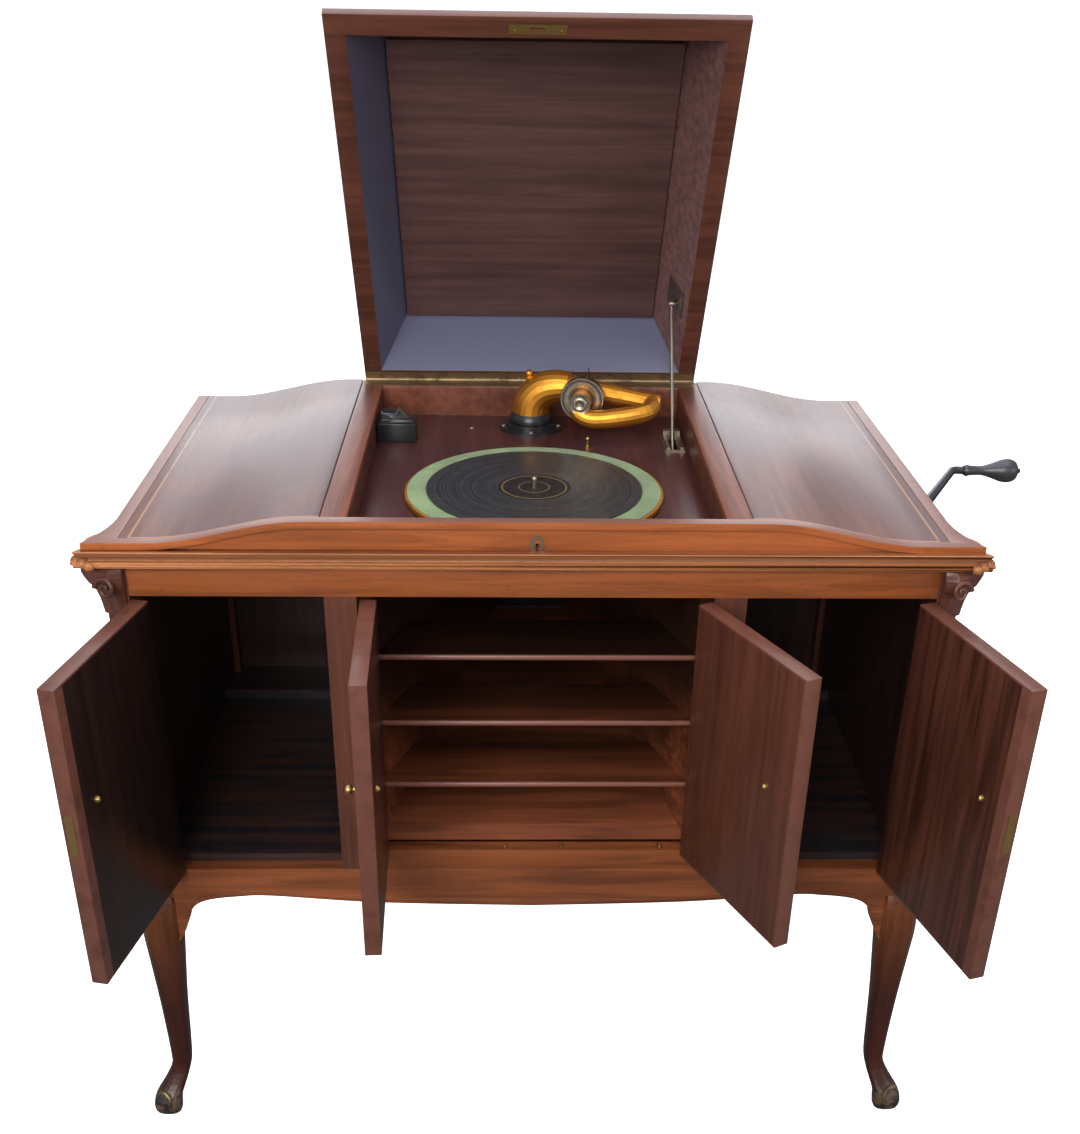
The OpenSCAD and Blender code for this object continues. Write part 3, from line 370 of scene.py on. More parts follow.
class Finish:
    """One material and the nodes in it"""

    def __init__(self, name):
        self.material = bpy.data.materials.new(name)
        self.material.use_nodes = True
        self.tree = self.material.node_tree
        self.shader = self.tree.nodes["Principled BSDF"]
        place = self.tree.nodes.new("ShaderNodeTexCoord")
        self.place = Value(self, place.outputs["Object"])
        split = self.add("ShaderNodeSeparateXYZ", {}, {0: self.place}, whole=True)
        self.x, self.y, self.z = (Value(self, s) for s in split.outputs)
        normal = Value(self, place.outputs["Normal"])
        facing = self.add("ShaderNodeSeparateXYZ", {}, {0: normal}, whole=True)
        self.upward = Value(self, facing.outputs["Z"])

    def add(self, kind, settings, values, output=0, whole=False):
        """Adds a node, sets it up, and returns one output as a Value, or the whole node"""
        node = self.tree.nodes.new(kind)
        for key, value in settings.items():
            setattr(node, key, value)
        for key, value in values.items():
            self.join(value, node.inputs[key])
        if whole:
            return node
        return Value(self, node.outputs[output])

    def join(self, value, socket):
        """Links a Value to a socket, or sets the socket to a number or colour"""
        if isinstance(value, Value):
            self.tree.links.new(value.socket, socket)
        elif hasattr(value, "__len__") and len(value) == 3 and len(socket.default_value) == 4:
            socket.default_value = (*value, 1.0)
        else:
            socket.default_value = value

    def vector(self, x, y, z):
        return self.add("ShaderNodeCombineXYZ", {}, {0: x, 1: y, 2: z})

    def noise(self, where, scale, detail, roughness, distortion=0.0):
        values = {"Vector": where, "Scale": scale, "Detail": detail, "Roughness": roughness,
                  "Distortion": distortion}
        return self.add("ShaderNodeTexNoise", {}, values)

    def streaks(self, grain_axis, fine, low, high):
        """Uneven lines along the grain, 0 where their noise is below low and 1 above high"""
        return self.noise(along_grain(self, grain_axis, fine), 1.0, 4.0, 0.6).above(low, high)

    def mix(self, share, a, b):
        """Colour a where share is 0 and b where it is 1"""
        return self.add("ShaderNodeMix", {"data_type": "RGBA"}, {0: share, 6: a, 7: b}, output=2)

    def bump(self, height, distance, strength):
        values = {"Height": height, "Distance": distance, "Strength": strength}
        return self.add("ShaderNodeBump", {}, values)

    def turned(self, pivot, degrees):
        """Distances along and across a leaf that stands open about an upright pivot"""
        c, s = math.cos(math.radians(degrees)), math.sin(math.radians(degrees))
        dx = self.x - pivot[0]
        dy = self.y - pivot[1]
        return dx * c + dy * s, dy * c - dx * s

    def lifted(self, hinge, degrees):
        """Distances out along and up from a lid that is lifted about a hinge at (y, z)"""
        c, s = math.cos(math.radians(degrees)), math.sin(math.radians(degrees))
        dy = self.y - hinge[0]
        dz = self.z - hinge[1]
        return dz * s - dy * c, dy * s + dz * c

    def set(self, **sockets):
        """Joins values to the shader's sockets, whose names have _ for a space"""
        for key, value in sockets.items():
            self.join(value, self.shader.inputs[key.replace("_", " ")])
        return self.material


def darker(colour, share):
    """A colour times a share, which may be above 1"""
    return tuple(c * share for c in colour)


# ---- materials ----


def along_grain(f, grain_axis, fine):
    """Object coordinates times fine, drawn out in the direction of the grain"""
    parts = []
    for axis, part in zip("xyz", (f.x, f.y, f.z)):
        along = 0.06 if axis == grain_axis else 1.0
        parts.append(part * (fine * along))
    return f.vector(*parts)


def mahogany(name, colour, grain_axis="z", gloss=0.34, depth=0.55, worn=0.0, haze=None, over=None):
    """Varnished mahogany: ribbon figure, fine dark pores, uneven gloss and light scratches

    haze is a colour that clouds the varnish in patches. over(f, wood) adds what one place needs.
    """
    spacing = bpy.context.scene.gramophone_wood.grain
    f = Finish(name)
    lines = along_grain(f, grain_axis, 1 / spacing)
    drift = f.noise(lines, 0.25, 2.0, 0.5)
    ribbon = f.noise(lines, 0.9, 4.0, 0.55, 0.6)
    pore = f.noise(along_grain(f, grain_axis, 14 / spacing), 1.0, 2.0, 0.6).above(0.58, 0.74)
    figure = (ribbon * 0.7 + drift * 0.5).above(0.40, 0.80)
    wood = f.mix(figure, darker(colour, 1 - depth * 0.62), darker(colour, 1 + depth))
    wood = f.mix(pore * 0.6, wood, darker(colour, 0.30))
    patches = f.noise(f.place, 5.0, 3.0, 0.6)
    wood = f.mix(patches.above(0.45, 0.75) * 0.25, wood, darker(colour, 1.5))
    if haze:
        wood = f.mix(patches.above(0.30, 0.62) * 0.75, wood, haze)
    scratch = f.noise(f.place, 38.0, 4.0, 0.7).above(0.66, 0.78) * worn
    wood = f.mix(scratch, wood, darker(colour, 2.4))
    if over:
        wood = over(f, wood)
    rough = patches * 0.16 + pore * 0.12 + (gloss - 0.06)
    height = pore * -0.6 + ribbon * 0.25
    return f.set(
        Base_Color=wood, Roughness=rough, Normal=f.bump(height, 0.00035, 0.5), Coat_Weight=0.25,
        Coat_Roughness=0.25, Specular_IOR_Level=0.32,
    )


def door_edges(pivot, degrees, width, low, high, colour, front):
    """Lighter, rubbed wood on the edges of a door that stands open, and polish on its front"""
    strip = 0.0018
    fade = 0.0012

    def over(f, wood):
        along, across = f.turned(pivot, degrees)
        ends = along.above(width - strip - fade, width - strip)
        ends = ends.most(f.z.above(high - strip - fade, high - strip))
        ends = ends.most(f.z.above(low + strip + fade, low + strip))
        broken = f.noise(f.place, 45.0, 3.0, 0.6).above(0.20, 0.60) * 0.45 + 0.55
        show = f.mix(f.streaks("z", 90.0, 0.25, 0.75), darker(front, 0.5), front)
        face = across.size().above(0.0050, 0.0042)
        return f.mix(ends * broken, f.mix(face, wood, show), colour)

    return over


def inlay(side, front, colour):
    """Thin light line let into a top panel, inside its side and front edges"""
    outer = 0.0016
    inner = 0.0008
    fade = 0.001

    def over(f, wood):
        across = (f.x.size() - side).size().above(outer, inner) * f.y.above(front - fade, front)
        ahead = (f.y - front).size().above(outer, inner) * f.x.size().above(side + fade, side)
        gaps = f.noise(f.place, 30.0, 3.0, 0.6).above(0.25, 0.45)
        return f.mix(across.most(ahead) * gaps * 0.8, wood, colour)

    return over


def metal(name, colour, rough, dull=0.35, stain=TARNISH):
    """Plated metal with tarnish in patches and fine wear"""
    f = Finish(name)
    cloud = f.noise(f.place, 42.0, 4.0, 0.6)
    fine = f.noise(f.place, 420.0, 2.0, 0.6)
    tarnish = cloud.above(0.46, 0.72) * dull
    tone = f.mix(tarnish, tuple(colour), stain)
    return f.set(
        Base_Color=tone, Metallic=1.0, Roughness=cloud * 0.2 + tarnish * 0.3 + (rough - 0.08),
        Normal=f.bump(fine, 0.00006, 0.4),
    )


def black_iron(name, colour, rough):
    """Baked black enamel, chipped a little"""
    f = Finish(name)
    peel = f.noise(f.place, 260.0, 2.0, 0.5)
    chips = f.noise(f.place, 90.0, 5.0, 0.65).above(0.70, 0.76)
    tone = f.mix(chips * 0.6, colour, CHIPPED_IRON)
    dust = f.noise(f.place, 18.0, 3.0, 0.6)
    return f.set(
        Base_Color=tone, Roughness=dust * 0.22 + chips * 0.2 + (rough - 0.1),
        Normal=f.bump(peel - chips * 0.8, 0.00012, 0.5), Coat_Weight=0.3, Coat_Roughness=0.15,
    )


def turntable_felt(name, colour):
    """Faded, rubbed wool felt"""
    f = Finish(name)
    fuzz = f.noise(f.place, 900.0, 3.0, 0.7)
    tufts = f.noise(f.place, 160.0, 3.0, 0.6)
    faded = f.noise(f.place, 22.0, 3.0, 0.6)
    tone = f.mix(faded.above(0.35, 0.7), darker(colour, 0.75), darker(colour, 1.18))
    tone = f.mix(fuzz.above(0.5, 0.75) * 0.35, tone, FELT_FLUFF)
    tone = f.mix(tufts.above(0.6, 0.75) * 0.4, tone, darker(colour, 0.5))
    return f.set(
        Base_Color=tone, Roughness=0.95, Normal=f.bump(fuzz + tufts, 0.0005, 0.8), Sheen_Weight=0.3,
        Sheen_Roughness=0.6, Specular_IOR_Level=0.2,
    )


def spun(f, centre):
    """Distance from an upright axis"""
    dx = f.x - centre[0]
    dy = f.y - centre[1]
    return (dx * dx + dy * dy).power(0.5)


def shellac(name, centre, outer, label):
    """Pressed record: fine grooves, smooth run-out ring, and a plain dark label with thin gold rings"""
    spacing = bpy.context.scene.gramophone_metal.groove
    f = Finish(name)
    r = spun(f, centre)
    grooved = r.above(label + 0.011, label + 0.012) * r.above(outer - 0.002, outer - 0.0032)
    ripple = (r * (2 * math.pi / spacing)).sine()
    bands = f.noise(f.vector(r * 260.0, 0.0, 0.0), 1.0, 2.0, 0.6)
    dust = f.noise(f.place, 55.0, 4.0, 0.65)
    black = f.mix(bands.above(0.35, 0.7), RECORD_BLACK, RECORD_GREY)
    black = f.mix(dust.above(0.5, 0.75) * 0.25, black, RECORD_DUST)
    faded = f.noise(f.place, 120.0, 4.0, 0.7).above(0.45, 0.7)
    outer_ring = (r - label * 0.88).size().above(0.0011, 0.0007)
    inner_ring = (r - label * 0.42).size().above(0.0008, 0.0004)
    rings = (outer_ring + inner_ring).least(1.0)
    paper = f.mix(rings * 0.6, f.mix(faded, LABEL_DARK, LABEL_FADED), LABEL_GOLD)
    inside = r.above(label + 0.0003, label)
    tone = f.mix(inside, black, paper)
    rough = inside * 0.30 + bands * 0.12 + dust * 0.10 + 0.20
    height = ripple * grooved * 0.5 + bands * grooved * 0.4
    return f.set(
        Base_Color=tone, Roughness=rough, Normal=f.bump(height, 0.00008, 0.7), Specular_IOR_Level=0.5
    )


# ---- placing finishes ----


def cover(material, *names):
    """Gives CAD nodes a finish of their own"""
    for name in names:
        mesh = NODES[name].data
        mesh.materials.clear()
        mesh.materials.append(material)


def smooth(*names):
    """Rounds the shading of curved CAD nodes"""
    deselect()
    for name in names:
        NODES[name].select_set(True)
    bpy.context.view_layer.objects.active = NODES[names[0]]
    bpy.ops.object.shade_smooth_by_angle(angle=SMOOTH_ANGLE)
    deselect()


def deselect():
    """Leaves no object selected"""
    bpy.ops.object.select_all(action="DESELECT")


# ---- shaping ----


def disc(name, radius, sides, standing=False):
    """Starts a piece as one flat disc and leaves it selected in edit mode"""
    deselect()
    tilt = (math.pi / 2, 0.0, 0.0) if standing else (0.0, 0.0, 0.0)
    bpy.ops.mesh.primitive_circle_add(vertices=sides, radius=radius, fill_type="NGON", rotation=tilt)
    piece = bpy.context.object
    piece.name = name
    bpy.ops.object.transform_apply(location=True, rotation=True, scale=True)
    bpy.ops.object.mode_set(mode="EDIT")
    bpy.ops.mesh.select_all(action="SELECT")
    return piece


def draw_out(step, centre, share):
    """Extrudes the selected face by a step, then scales it about its new centre"""
    bpy.ops.mesh.extrude_region_move(TRANSFORM_OT_translate={"value": step})
    bpy.ops.transform.resize(value=(share, share, share), center_override=centre)


def close_up(piece, angle=50.0):
    """Turns the finished skin outwards and smooths it"""
    turn_outwards()
    bpy.ops.object.mode_set(mode="OBJECT")
    bpy.ops.object.shade_smooth_by_angle(angle=math.radians(angle))
    return piece


def in_metres(profile):
    """A profile given in millimetres"""
    return [(r * MM, h * MM) for r, h in profile]


def lathe(name, profile, sides=48):
    """Turned piece on the z axis from (radius, height) steps"""
    piece = disc(name, profile[0][0], sides)
    bpy.ops.transform.translate(value=(0.0, 0.0, profile[0][1]))
    for (r0, h0), (r1, h1) in zip(profile, profile[1:]):
        draw_out((0.0, 0.0, h1 - h0), (0.0, 0.0, h1), r1 / r0)
    return close_up(piece)


def bead(name, path, radii, sides=10):
    """Round bead along a path of (x, y) points, drawn out ring by ring"""
    points = [Vector((x, y, 0.0)) for x, y in path]
    ends = [points[0]] + points[:-1], points[1:] + [points[-1]]
    ways = [math.atan2(b.y - a.y, b.x - a.x) for a, b in zip(*ends)]
    piece = disc(name, radii[0], sides, standing=True)
    turn(ways[0] - math.pi / 2, (0.0, 0.0, 0.0))
    bpy.ops.transform.translate(value=points[0])
    for i in range(len(points) - 1):
        draw_out(points[i + 1] - points[i], points[i + 1], radii[i + 1] / radii[i])
        turn(ways[i + 1] - ways[i], points[i + 1])
    return close_up(piece)


def turn(angle, centre):
    """Turns what is selected about z; without a window the operator turns the other way"""
    angle = math.remainder(angle, 2 * math.pi)
    bpy.ops.transform.rotate(value=-angle, orient_axis="Z", center_override=centre)


def spiral(start, finish, turns, steps=40):
    """Points of a scroll that winds in from the start radius to the finish radius"""
    points = []
    for i in range(steps + 1):
        share = i / steps
        r = start + (finish - start) * share ** 0.8
        a = 2 * math.pi * turns * share
        points.append((r * math.cos(a), r * math.sin(a)))
    return points


def on_side(side, point):
    """A place or direction of the right corner, or its mirror image for the left where side is -1"""
    x, y, z = point
    return side * x, y, z


def turn_outwards():
    """Makes every face of the mesh in edit mode look outwards"""
    bpy.ops.mesh.select_all(action="SELECT")
    bpy.ops.mesh.normals_make_consistent(inside=False)


def stand(piece, place, facing, spin=0.0, flip=1):
    """Stands a finished piece at a place, its z axis facing that way and its y axis upright

    spin turns it about that facing, in degrees. flip of -1 mirrors it.
    """
    ahead = Vector(facing).normalized()
    side = Vector(UPRIGHT).cross(ahead)
    side = side.normalized() if side.length > 0.001 else Vector((1.0, 0.0, 0.0))
    up = ahead.cross(side)
    c, s = math.cos(math.radians(spin)), math.sin(math.radians(spin))
    x_axis = (side * c + up * s) * flip
    y_axis = up * c - side * s
    piece.matrix_world = Matrix.Translation(place) @ Matrix((x_axis, y_axis, ahead)).transposed().to_4x4()
    deselect()
    piece.select_set(True)
    bpy.context.view_layer.objects.active = piece
    bpy.ops.object.transform_apply(location=True, rotation=True, scale=True)
    if flip < 0:
        bpy.ops.object.mode_set(mode="EDIT")
        turn_outwards()
        bpy.ops.object.mode_set(mode="OBJECT")


def copied(node, name):
    """A copy of a CAD node, shown in its place"""
    deselect()
    NODES[node].select_set(True)
    bpy.context.view_layer.objects.active = NODES[node]
    bpy.ops.object.duplicate()
    piece = bpy.context.object
    piece.name = name
    del piece["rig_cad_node"]
    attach(piece, NODES[node]["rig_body"])
    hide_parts(node)
    return piece


def recapped(node):
    """Shows a copy of a CAD node whose flat top is taken off and filled anew"""
    piece = copied(node, node + "_capped")
    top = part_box(node)[1].z - 0.2 * MM
    bpy.ops.object.mode_set(mode="EDIT")
    bpy.ops.mesh.select_all(action="SELECT")
    bpy.ops.mesh.remove_doubles(threshold=WELD)
    bpy.ops.mesh.select_all(action="DESELECT")
    bpy.ops.mesh.select_mode(type="FACE")
    bpy.ops.object.mode_set(mode="OBJECT")
    for face in piece.data.polygons:
        face.select = face.center.z > top
    bpy.ops.object.mode_set(mode="EDIT")
    bpy.ops.mesh.delete(type="FACE")
    bpy.ops.mesh.select_all(action="SELECT")
    bpy.ops.mesh.fill_holes(sides=0)
    bpy.ops.mesh.normals_make_consistent(inside=False)
    bpy.ops.object.mode_set(mode="OBJECT")
    bpy.ops.object.shade_smooth_by_angle(angle=SMOOTH_ANGLE)
    deselect()


def rounded(node, width, segments=2):
    """Shows a copy of a CAD node with its sharp edges rounded"""
    piece = copied(node, node + "_rounded")
    bpy.ops.object.mode_set(mode="EDIT")
    bpy.ops.mesh.select_all(action="SELECT")
    bpy.ops.mesh.remove_doubles(threshold=WELD)
    bpy.ops.mesh.dissolve_limited(angle_limit=math.radians(0.5))
    bpy.ops.object.mode_set(mode="OBJECT")
    bevel = piece.modifiers.new("Round", "BEVEL")
    bevel.width = width
    bevel.segments = segments
    bevel.limit_method = "ANGLE"
    bevel.angle_limit = math.radians(40)
    bevel.use_clamp_overlap = True
    bpy.ops.object.modifier_apply(modifier=bevel.name)
    bpy.ops.object.shade_smooth_by_angle(angle=SMOOTH_ANGLE)
    deselect()


# ---- operators ----


class GRAMOPHONE_OT_finish_wood(bpy.types.Operator):
    """Lays the mahogany finishes on the carcass, top, lid, doors and horn"""

    bl_idname = "gramophone.finish_wood"
    bl_label = "Finish the wood"

    def execute(self, context):
        wood = context.scene.gramophone_wood
        self.carcass(wood)
        self.top(wood)
        self.inside(wood)
        self.lid(wood)
        self.doors(context, wood)
        smooth("front_left_leg", "front_right_leg", "rear_legs", "scroll_capitals", "belt_moulding",
               "top_moulding", "left_top_panel", "right_top_panel", "front_board", "front_apron", "louvres")
        return {"FINISHED"}

    def carcass(self, wood):
        """Legs, posts, rails, mouldings and apron"""
        cover(mahogany("leg_mahogany", wood.leg, "z", depth=0.6, over=self.knee_shade),
              "front_left_leg", "front_right_leg", "rear_legs")
        cover(mahogany("post_mahogany", wood.red, "z", depth=0.45),
              "partitions", "scroll_capitals")
        cover(mahogany("rail_mahogany", wood.orange, "x", depth=0.5),
              "front_rail")
        cover(mahogany("frieze_mahogany", darker(wood.orange, 1.35), "x", depth=0.5, over=self.bleached_and_skylit),
              "front_board", "top_moulding")
        cover(mahogany("belt_mahogany", wood.belt, "x", depth=0.25, over=self.belt_lines),
              "belt_moulding")
        cover(mahogany("apron_mahogany", darker(wood.orange, 0.72), "x", depth=0.6),
              "front_apron", "centre_sill")

    def top(self, wood):
        """Top panels, the well's rails and the motorboard"""
        line = inlay(INLAY_SIDE, INLAY_FRONT, wood.inlay)
        cover(mahogany("top_mahogany", wood.top, "y", gloss=0.30, depth=0.3, worn=0.1, haze=wood.bloom,
                       over=line),
              "left_top_panel", "right_top_panel")
        cover(mahogany("well_mahogany", darker(wood.red, 1.5), "y"),
              "well_frame")
        cover(mahogany("board_mahogany", wood.board, "y", gloss=0.30, depth=0.5, worn=0.1),
              "motorboard")

    def inside(self, wood):
        """Sides and back, the compartments' boards, and the horn with its louvres"""
        cover(mahogany("side_mahogany", wood.dark, "z", depth=0.5, over=self.show_side),
              "left_side_panel", "right_side_panel", "back_panel")
        # Painted shade: the compartments' boards are near-black, with painted light on their floor
        cover(mahogany("inner_boards", wood.black, "y", gloss=0.5, depth=0.5, over=self.foot_of_wall),
              "bottom_board", "inner_boards")
        cover(mahogany("horn_mahogany", wood.horn, "x", depth=0.7, over=self.horn_shade),
              "horn_boards")
        cover(mahogany("louvre_mahogany", wood.horn, "x", depth=0.7, over=self.louvre_shade),
              "louvres")

    def lid(self, wood):
        """The lid's walls and the panel between them"""
        cover(mahogany("lid_mahogany", wood.red, "x", depth=0.5, gloss=0.28, over=self.lid_shade),
              "lid_walls")
        cover(mahogany("lid_panel_mahogany", darker(wood.lid_inside, 1.2), "x", depth=0.4),
              "lid_panel")

    def show_side(self, f, wood):
        """The carcass is polished outside and left bare inside"""
        red = bpy.context.scene.gramophone_wood.red
        polished = f.mix(f.streaks("z", 90.0, 0.25, 0.75), darker(red, 0.45), darker(red, 0.95))
        side = f.x.size().above(CARCASS_SIDE, CARCASS_SIDE + MM)
        back = f.y.above(CARCASS_BACK, CARCASS_BACK + MM)
        return f.mix(side.most(back), wood, polished)

    def bleached_and_skylit(self, f, wood):
        """The moulding's upper faces take the pale colour of the top beside them: bleached like it, and
        painted light from the sky above
        """
        top = bpy.context.scene.gramophone_wood.top
        # Upward faces painted lighter: partly bleaching, partly painted light from above
        return f.mix(f.upward.above(0.55, 0.95) * 0.85, wood, darker(top, 1.1))

    def knee_shade(self, f, wood):
        """A leg's foot is darker towards the floor and worn bare in patches, its knee has the apron's
        colour, and its post is redder
        """
        colours = bpy.context.scene.gramophone_wood
        streaks = f.streaks("z", 90.0, 0.25, 0.75)
        knee = f.mix(streaks, darker(colours.orange, 0.35), darker(colours.orange, 0.75))
        post = f.mix(streaks, darker(colours.red, 0.6), darker(colours.red, 1.2))
        bare = f.noise(f.place, 70.0, 3.0, 0.6).above(0.45, 0.60)
        foot = f.mix(bare, FOOT_DARK, FOOT_BARE)
        lower = f.mix(f.z.above(0.048, 0.026) * 0.85, wood, foot)
        upper = f.mix(f.z.above(0.375, 0.42), knee, post)
        return f.mix(f.z.above(0.17, 0.35), lower, upper)

    def foot_of_wall(self, f, wood):
        """Painted light: lighter brown streaks on the compartments' floor, where light falls on it, over
        the painted shade of their dark boards
        """
        floor = f.z.above(0.425, 0.419)
        return f.mix(floor * f.streaks("x", 60.0, 0.35, 0.65) * 0.8, wood, PAINTED_FLOOR_LIGHT)

    def belt_lines(self, f, wood):
        """Painted shade in the belt's cove and under its lower bead, at shares of the belt's height"""
        low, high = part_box("belt_moulding")
        share = (f.z - low.z) / (high.z - low.z)
        cove = share.above(0.44, 0.52) * share.above(0.88, 0.80)
        under = share.above(0.12, 0.02)
        # Painted shade in the cove and under the lower bead
        return f.mix(cove.most(under) * 0.55, wood, PAINTED_COVE_SHADE)

    def horn_shade(self, f, wood):
        """Painted shade: the horn's wood is painted darker towards the throat, most of all high up"""
        high = f.z.above(0.50, 0.66)
        deep = (f.y + high * 0.10).above(-0.238, -0.13)
        # Painted shade laid over the wood deep in the horn and high up
        return f.mix(deep * (high * 0.30 + 0.62), wood, PAINTED_HORN_SHADE)

    def louvre_shade(self, f, wood):
        """A louvre takes the horn's painted shade behind its front edge, and its front edge is painted
        light as a highlight
        """
        edge = f.y.above(-0.2375, -0.2392)
        shaded = self.horn_shade(f, wood)
        # Painted highlight along the louvre's front edge
        return f.mix(edge * 0.8, shaded, PAINTED_EDGE_HIGHLIGHT)

    def lid_shade(self, f, wood):
        """In the hollow, the lid's walls are greyer than its rim, and two of them have a cool sheen, a
        reflection of the sky painted into their colour
        """
        colours = bpy.context.scene.gramophone_wood
        out, up = f.lifted(LID_HINGE, LID_OPEN)
        from_side = LID_HALF_WIDTH - up * LID_LEAN["side"] - f.x.size()
        from_rear = out - up * LID_LEAN["rear"]
        from_front = LID_FRONT - up * LID_LEAN["front"] - out
        hollow = from_side.above(0.0, 0.0008) * from_front.above(0.0, 0.0008)
        hollow = hollow * from_rear.above(LID_REAR, LID_REAR + 0.0007) * up.above(0.0008, 0.0015)
        rear = hollow * from_rear.above(LID_REAR + 0.0035, LID_REAR + 0.0020)
        left = hollow * f.x.above(-0.10, -0.12)
        grain = f.streaks("x", 110.0, 0.3, 0.7)
        side = f.mix(grain, darker(colours.lid_inside, 1.6), darker(colours.lid_inside, 2.8))
        shaded = f.mix(hollow, wood, side)
        # Painted reflection of the sky on the left and rear walls
        shaded = f.mix(left, shaded, darker(colours.painted_sky_sheen, 0.65))
        return f.mix(rear, shaded, colours.painted_sky_sheen)

    def doors(self, context, wood):
        """Each door has its own figure, and lighter wood along its rubbed edges"""
        angles = context.scene.gramophone_doors
        outer = (OUTER_PIVOT_X, OUTER_WIDTH, OUTER_HEIGHTS)
        inner = (INNER_PIVOT_X, INNER_WIDTH, INNER_HEIGHTS)
        leaves = (
            ("outer_left_door", -1, outer, -angles.outer_left, darker(wood.dark, 0.5), 0.5),
            ("outer_right_door", 1, outer, 180 + angles.outer_right, wood.right, 0.9),
            ("inner_left_door", -1, inner, -angles.inner_left, darker(wood.right, 0.9), 0.5),
            ("inner_right_door", 1, inner, 180 + angles.inner_right, darker(wood.right, 1.35), 0.4),
        )
        for name, side, (x, width, (low, high)), degrees, colour, depth in leaves:
            pivot = (side * x, DOOR_PIVOT_Y)
            edges = door_edges(pivot, degrees, width, low, high, wood.rubbed, wood.red)
            cover(mahogany(name + "_mahogany", colour, "z", depth=depth, over=edges), name)


class GRAMOPHONE_OT_finish_metal(bpy.types.Operator):
    """Lays gilt, brass, nickel and black enamel on the metalwork, and the finishes of felt and record"""

    bl_idname = "gramophone.finish_metal"
    bl_label = "Finish the metalwork"

    def execute(self, context):
        metals = context.scene.gramophone_metal
        cover(metal("gilt", metals.gilt, rough=0.46, stain=GILT_TARNISH),
              "tonearm", "gooseneck", "platter")
        cover(metal("hinge_brass", OLD_BRASS, rough=0.5, dull=0.7),
              "lid_hinge_fixed_leaf", "lid_hinge_moving_leaf")
        cover(metal("brass", metals.brass, rough=0.36),
              "door_hinge_leaves", "strike_plate", "door_catches", "outer_left_brass",
              "outer_right_brass", "inner_left_brass", "inner_right_brass", "arm_rest_post", "governor",
              "crank_bush")
        cover(metal("nickel", metals.nickel, rough=0.34, stain=NICKEL_TARNISH),
              "lid_lock", "stay_bracket", "stay_fitting", "stay_rod", "board_screws", "spindle",
              "spring_arbor")
        cover(black_iron("black_enamel", ENAMEL, 0.32),
              "horn_elbow", "motor_frame", "tonearm_base", "spring_barrel", "crank_arm", "needle_box")
        cover(black_iron("crank_grip", CRANK_GRIP, 0.42),
              "crank_handle")
        cover(metal("gunmetal", GUNMETAL, rough=0.3, dull=0.4),
              "sound_box")
        cover(turntable_felt("felt", metals.felt),
              "platter_felt")
        low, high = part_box("record")
        centre = (low + high) / 2
        cover(shellac("shellac", centre, (high.x - low.x) / 2, LABEL_RADIUS),
              "record")
        smooth("tonearm", "gooseneck", "platter", "crank_arm", "crank_handle", "sound_box", "arm_rest_post",
               "outer_left_brass", "outer_right_brass", "inner_left_brass", "inner_right_brass",
               "stay_rod", "tonearm_base", "record", "platter_felt", "spindle", "crank_bush",
               "board_screws", "lid_hinge_fixed_leaf", "lid_hinge_moving_leaf", "door_hinge_leaves")
        return {"FINISHED"}


class GRAMOPHONE_OT_round_edges(bpy.types.Operator):
    """Rounds the worn edges of the doors, lid, louvres and mouldings"""

    bl_idname = "gramophone.round_edges"
    bl_label = "Round the edges"

    def execute(self, context):
        detail = context.scene.gramophone_detail
        for node in ("outer_left_door", "outer_right_door", "inner_left_door", "inner_right_door",
                     "lid_walls", "louvres", "front_rail", "centre_sill", "well_frame", "needle_box",
                     "front_apron", "left_top_panel", "right_top_panel"):
            rounded(node, detail.edge)
        rounded("top_moulding", detail.nose, 4)
        recapped("belt_moulding")
        return {"FINISHED"}


class GRAMOPHONE_OT_carve(bpy.types.Operator):
    """Carves the scrolls of capitals and feet, and the block and leaf at each corner of the belt"""

    bl_idname = "gramophone.carve"
    bl_label = "Carve the scrolls"

    def execute(self, context):
        detail = context.scene.gramophone_detail
        body = NODES["scroll_capitals"]["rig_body"]
        carved = bpy.data.materials["post_mahogany"]
        beads = bpy.data.materials["belt_mahogany"]
        gilded = metal("worn_gilding", WORN_GILDING, rough=0.5, dull=0.8, stain=GILDING_DIRT)
        for side, name in ((-1, "left"), (1, "right")):
            volute = self.volute(name + "_volute", detail.volute, VOLUTE_BEAD)
            stand(volute, on_side(side, VOLUTE_PLACE), on_side(side, VOLUTE_FACING), flip=side)
            self.join(volute, body, carved)
            ear = self.ear(name + "_ear", side)
            self.join(ear, body, beads)
            for i, (length, place, facing) in enumerate(LEAF_LOBES):
                lobe = self.lobe(f"{name}_leaf_{i}", length, LOBE_RADIUS)
                stand(lobe, on_side(side, place), on_side(side, facing))
                self.join(lobe, body, beads)
            whorl = self.volute(name + "_foot_scroll", detail.whorl, WHORL_BEAD)
            stand(whorl, on_side(side, WHORL_PLACE), on_side(side, WHORL_FACING), spin=40, flip=side)
            self.join(whorl, body, gilded)
        return {"FINISHED"}

    def volute(self, name, radius, thick):
        """Scroll that winds in one and a half turns and thins towards its eye"""
        path = spiral(radius, radius * 0.16, 1.5)
        last = len(path) - 1
        return bead(name, path, [thick * (1 - 0.45 * i / last) for i in range(last + 1)])

    def ear(self, name, side):
        """Turned block in which the belt's two beads run round the corner post"""
        low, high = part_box("belt_moulding")
        gap = 0.2 * MM
        tall = high.z - low.z - 2 * gap
        ear = lathe(name, [(r * MM, share * tall) for r, share in EAR_PROFILE], 40)
        stand(ear, on_side(side, (*EAR_PLACE, low.z + gap)), UPRIGHT)
        return ear

    def lobe(self, name, length, radius):
        """Leaf lobe, fullest near its tip and pointed at both ends"""
        steps = 9
        profile = []
        for i in range(steps + 1):
            share = i / steps
            profile.append((radius * (math.sin(math.pi * share ** 1.3) + 0.06), length * (share - 0.5)))
        return lathe(name, profile, 16)

    def join(self, piece, body, material):
        """Gives a carved piece its finish and lets it move with its body"""
        piece.data.materials.append(material)
        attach(piece, body)


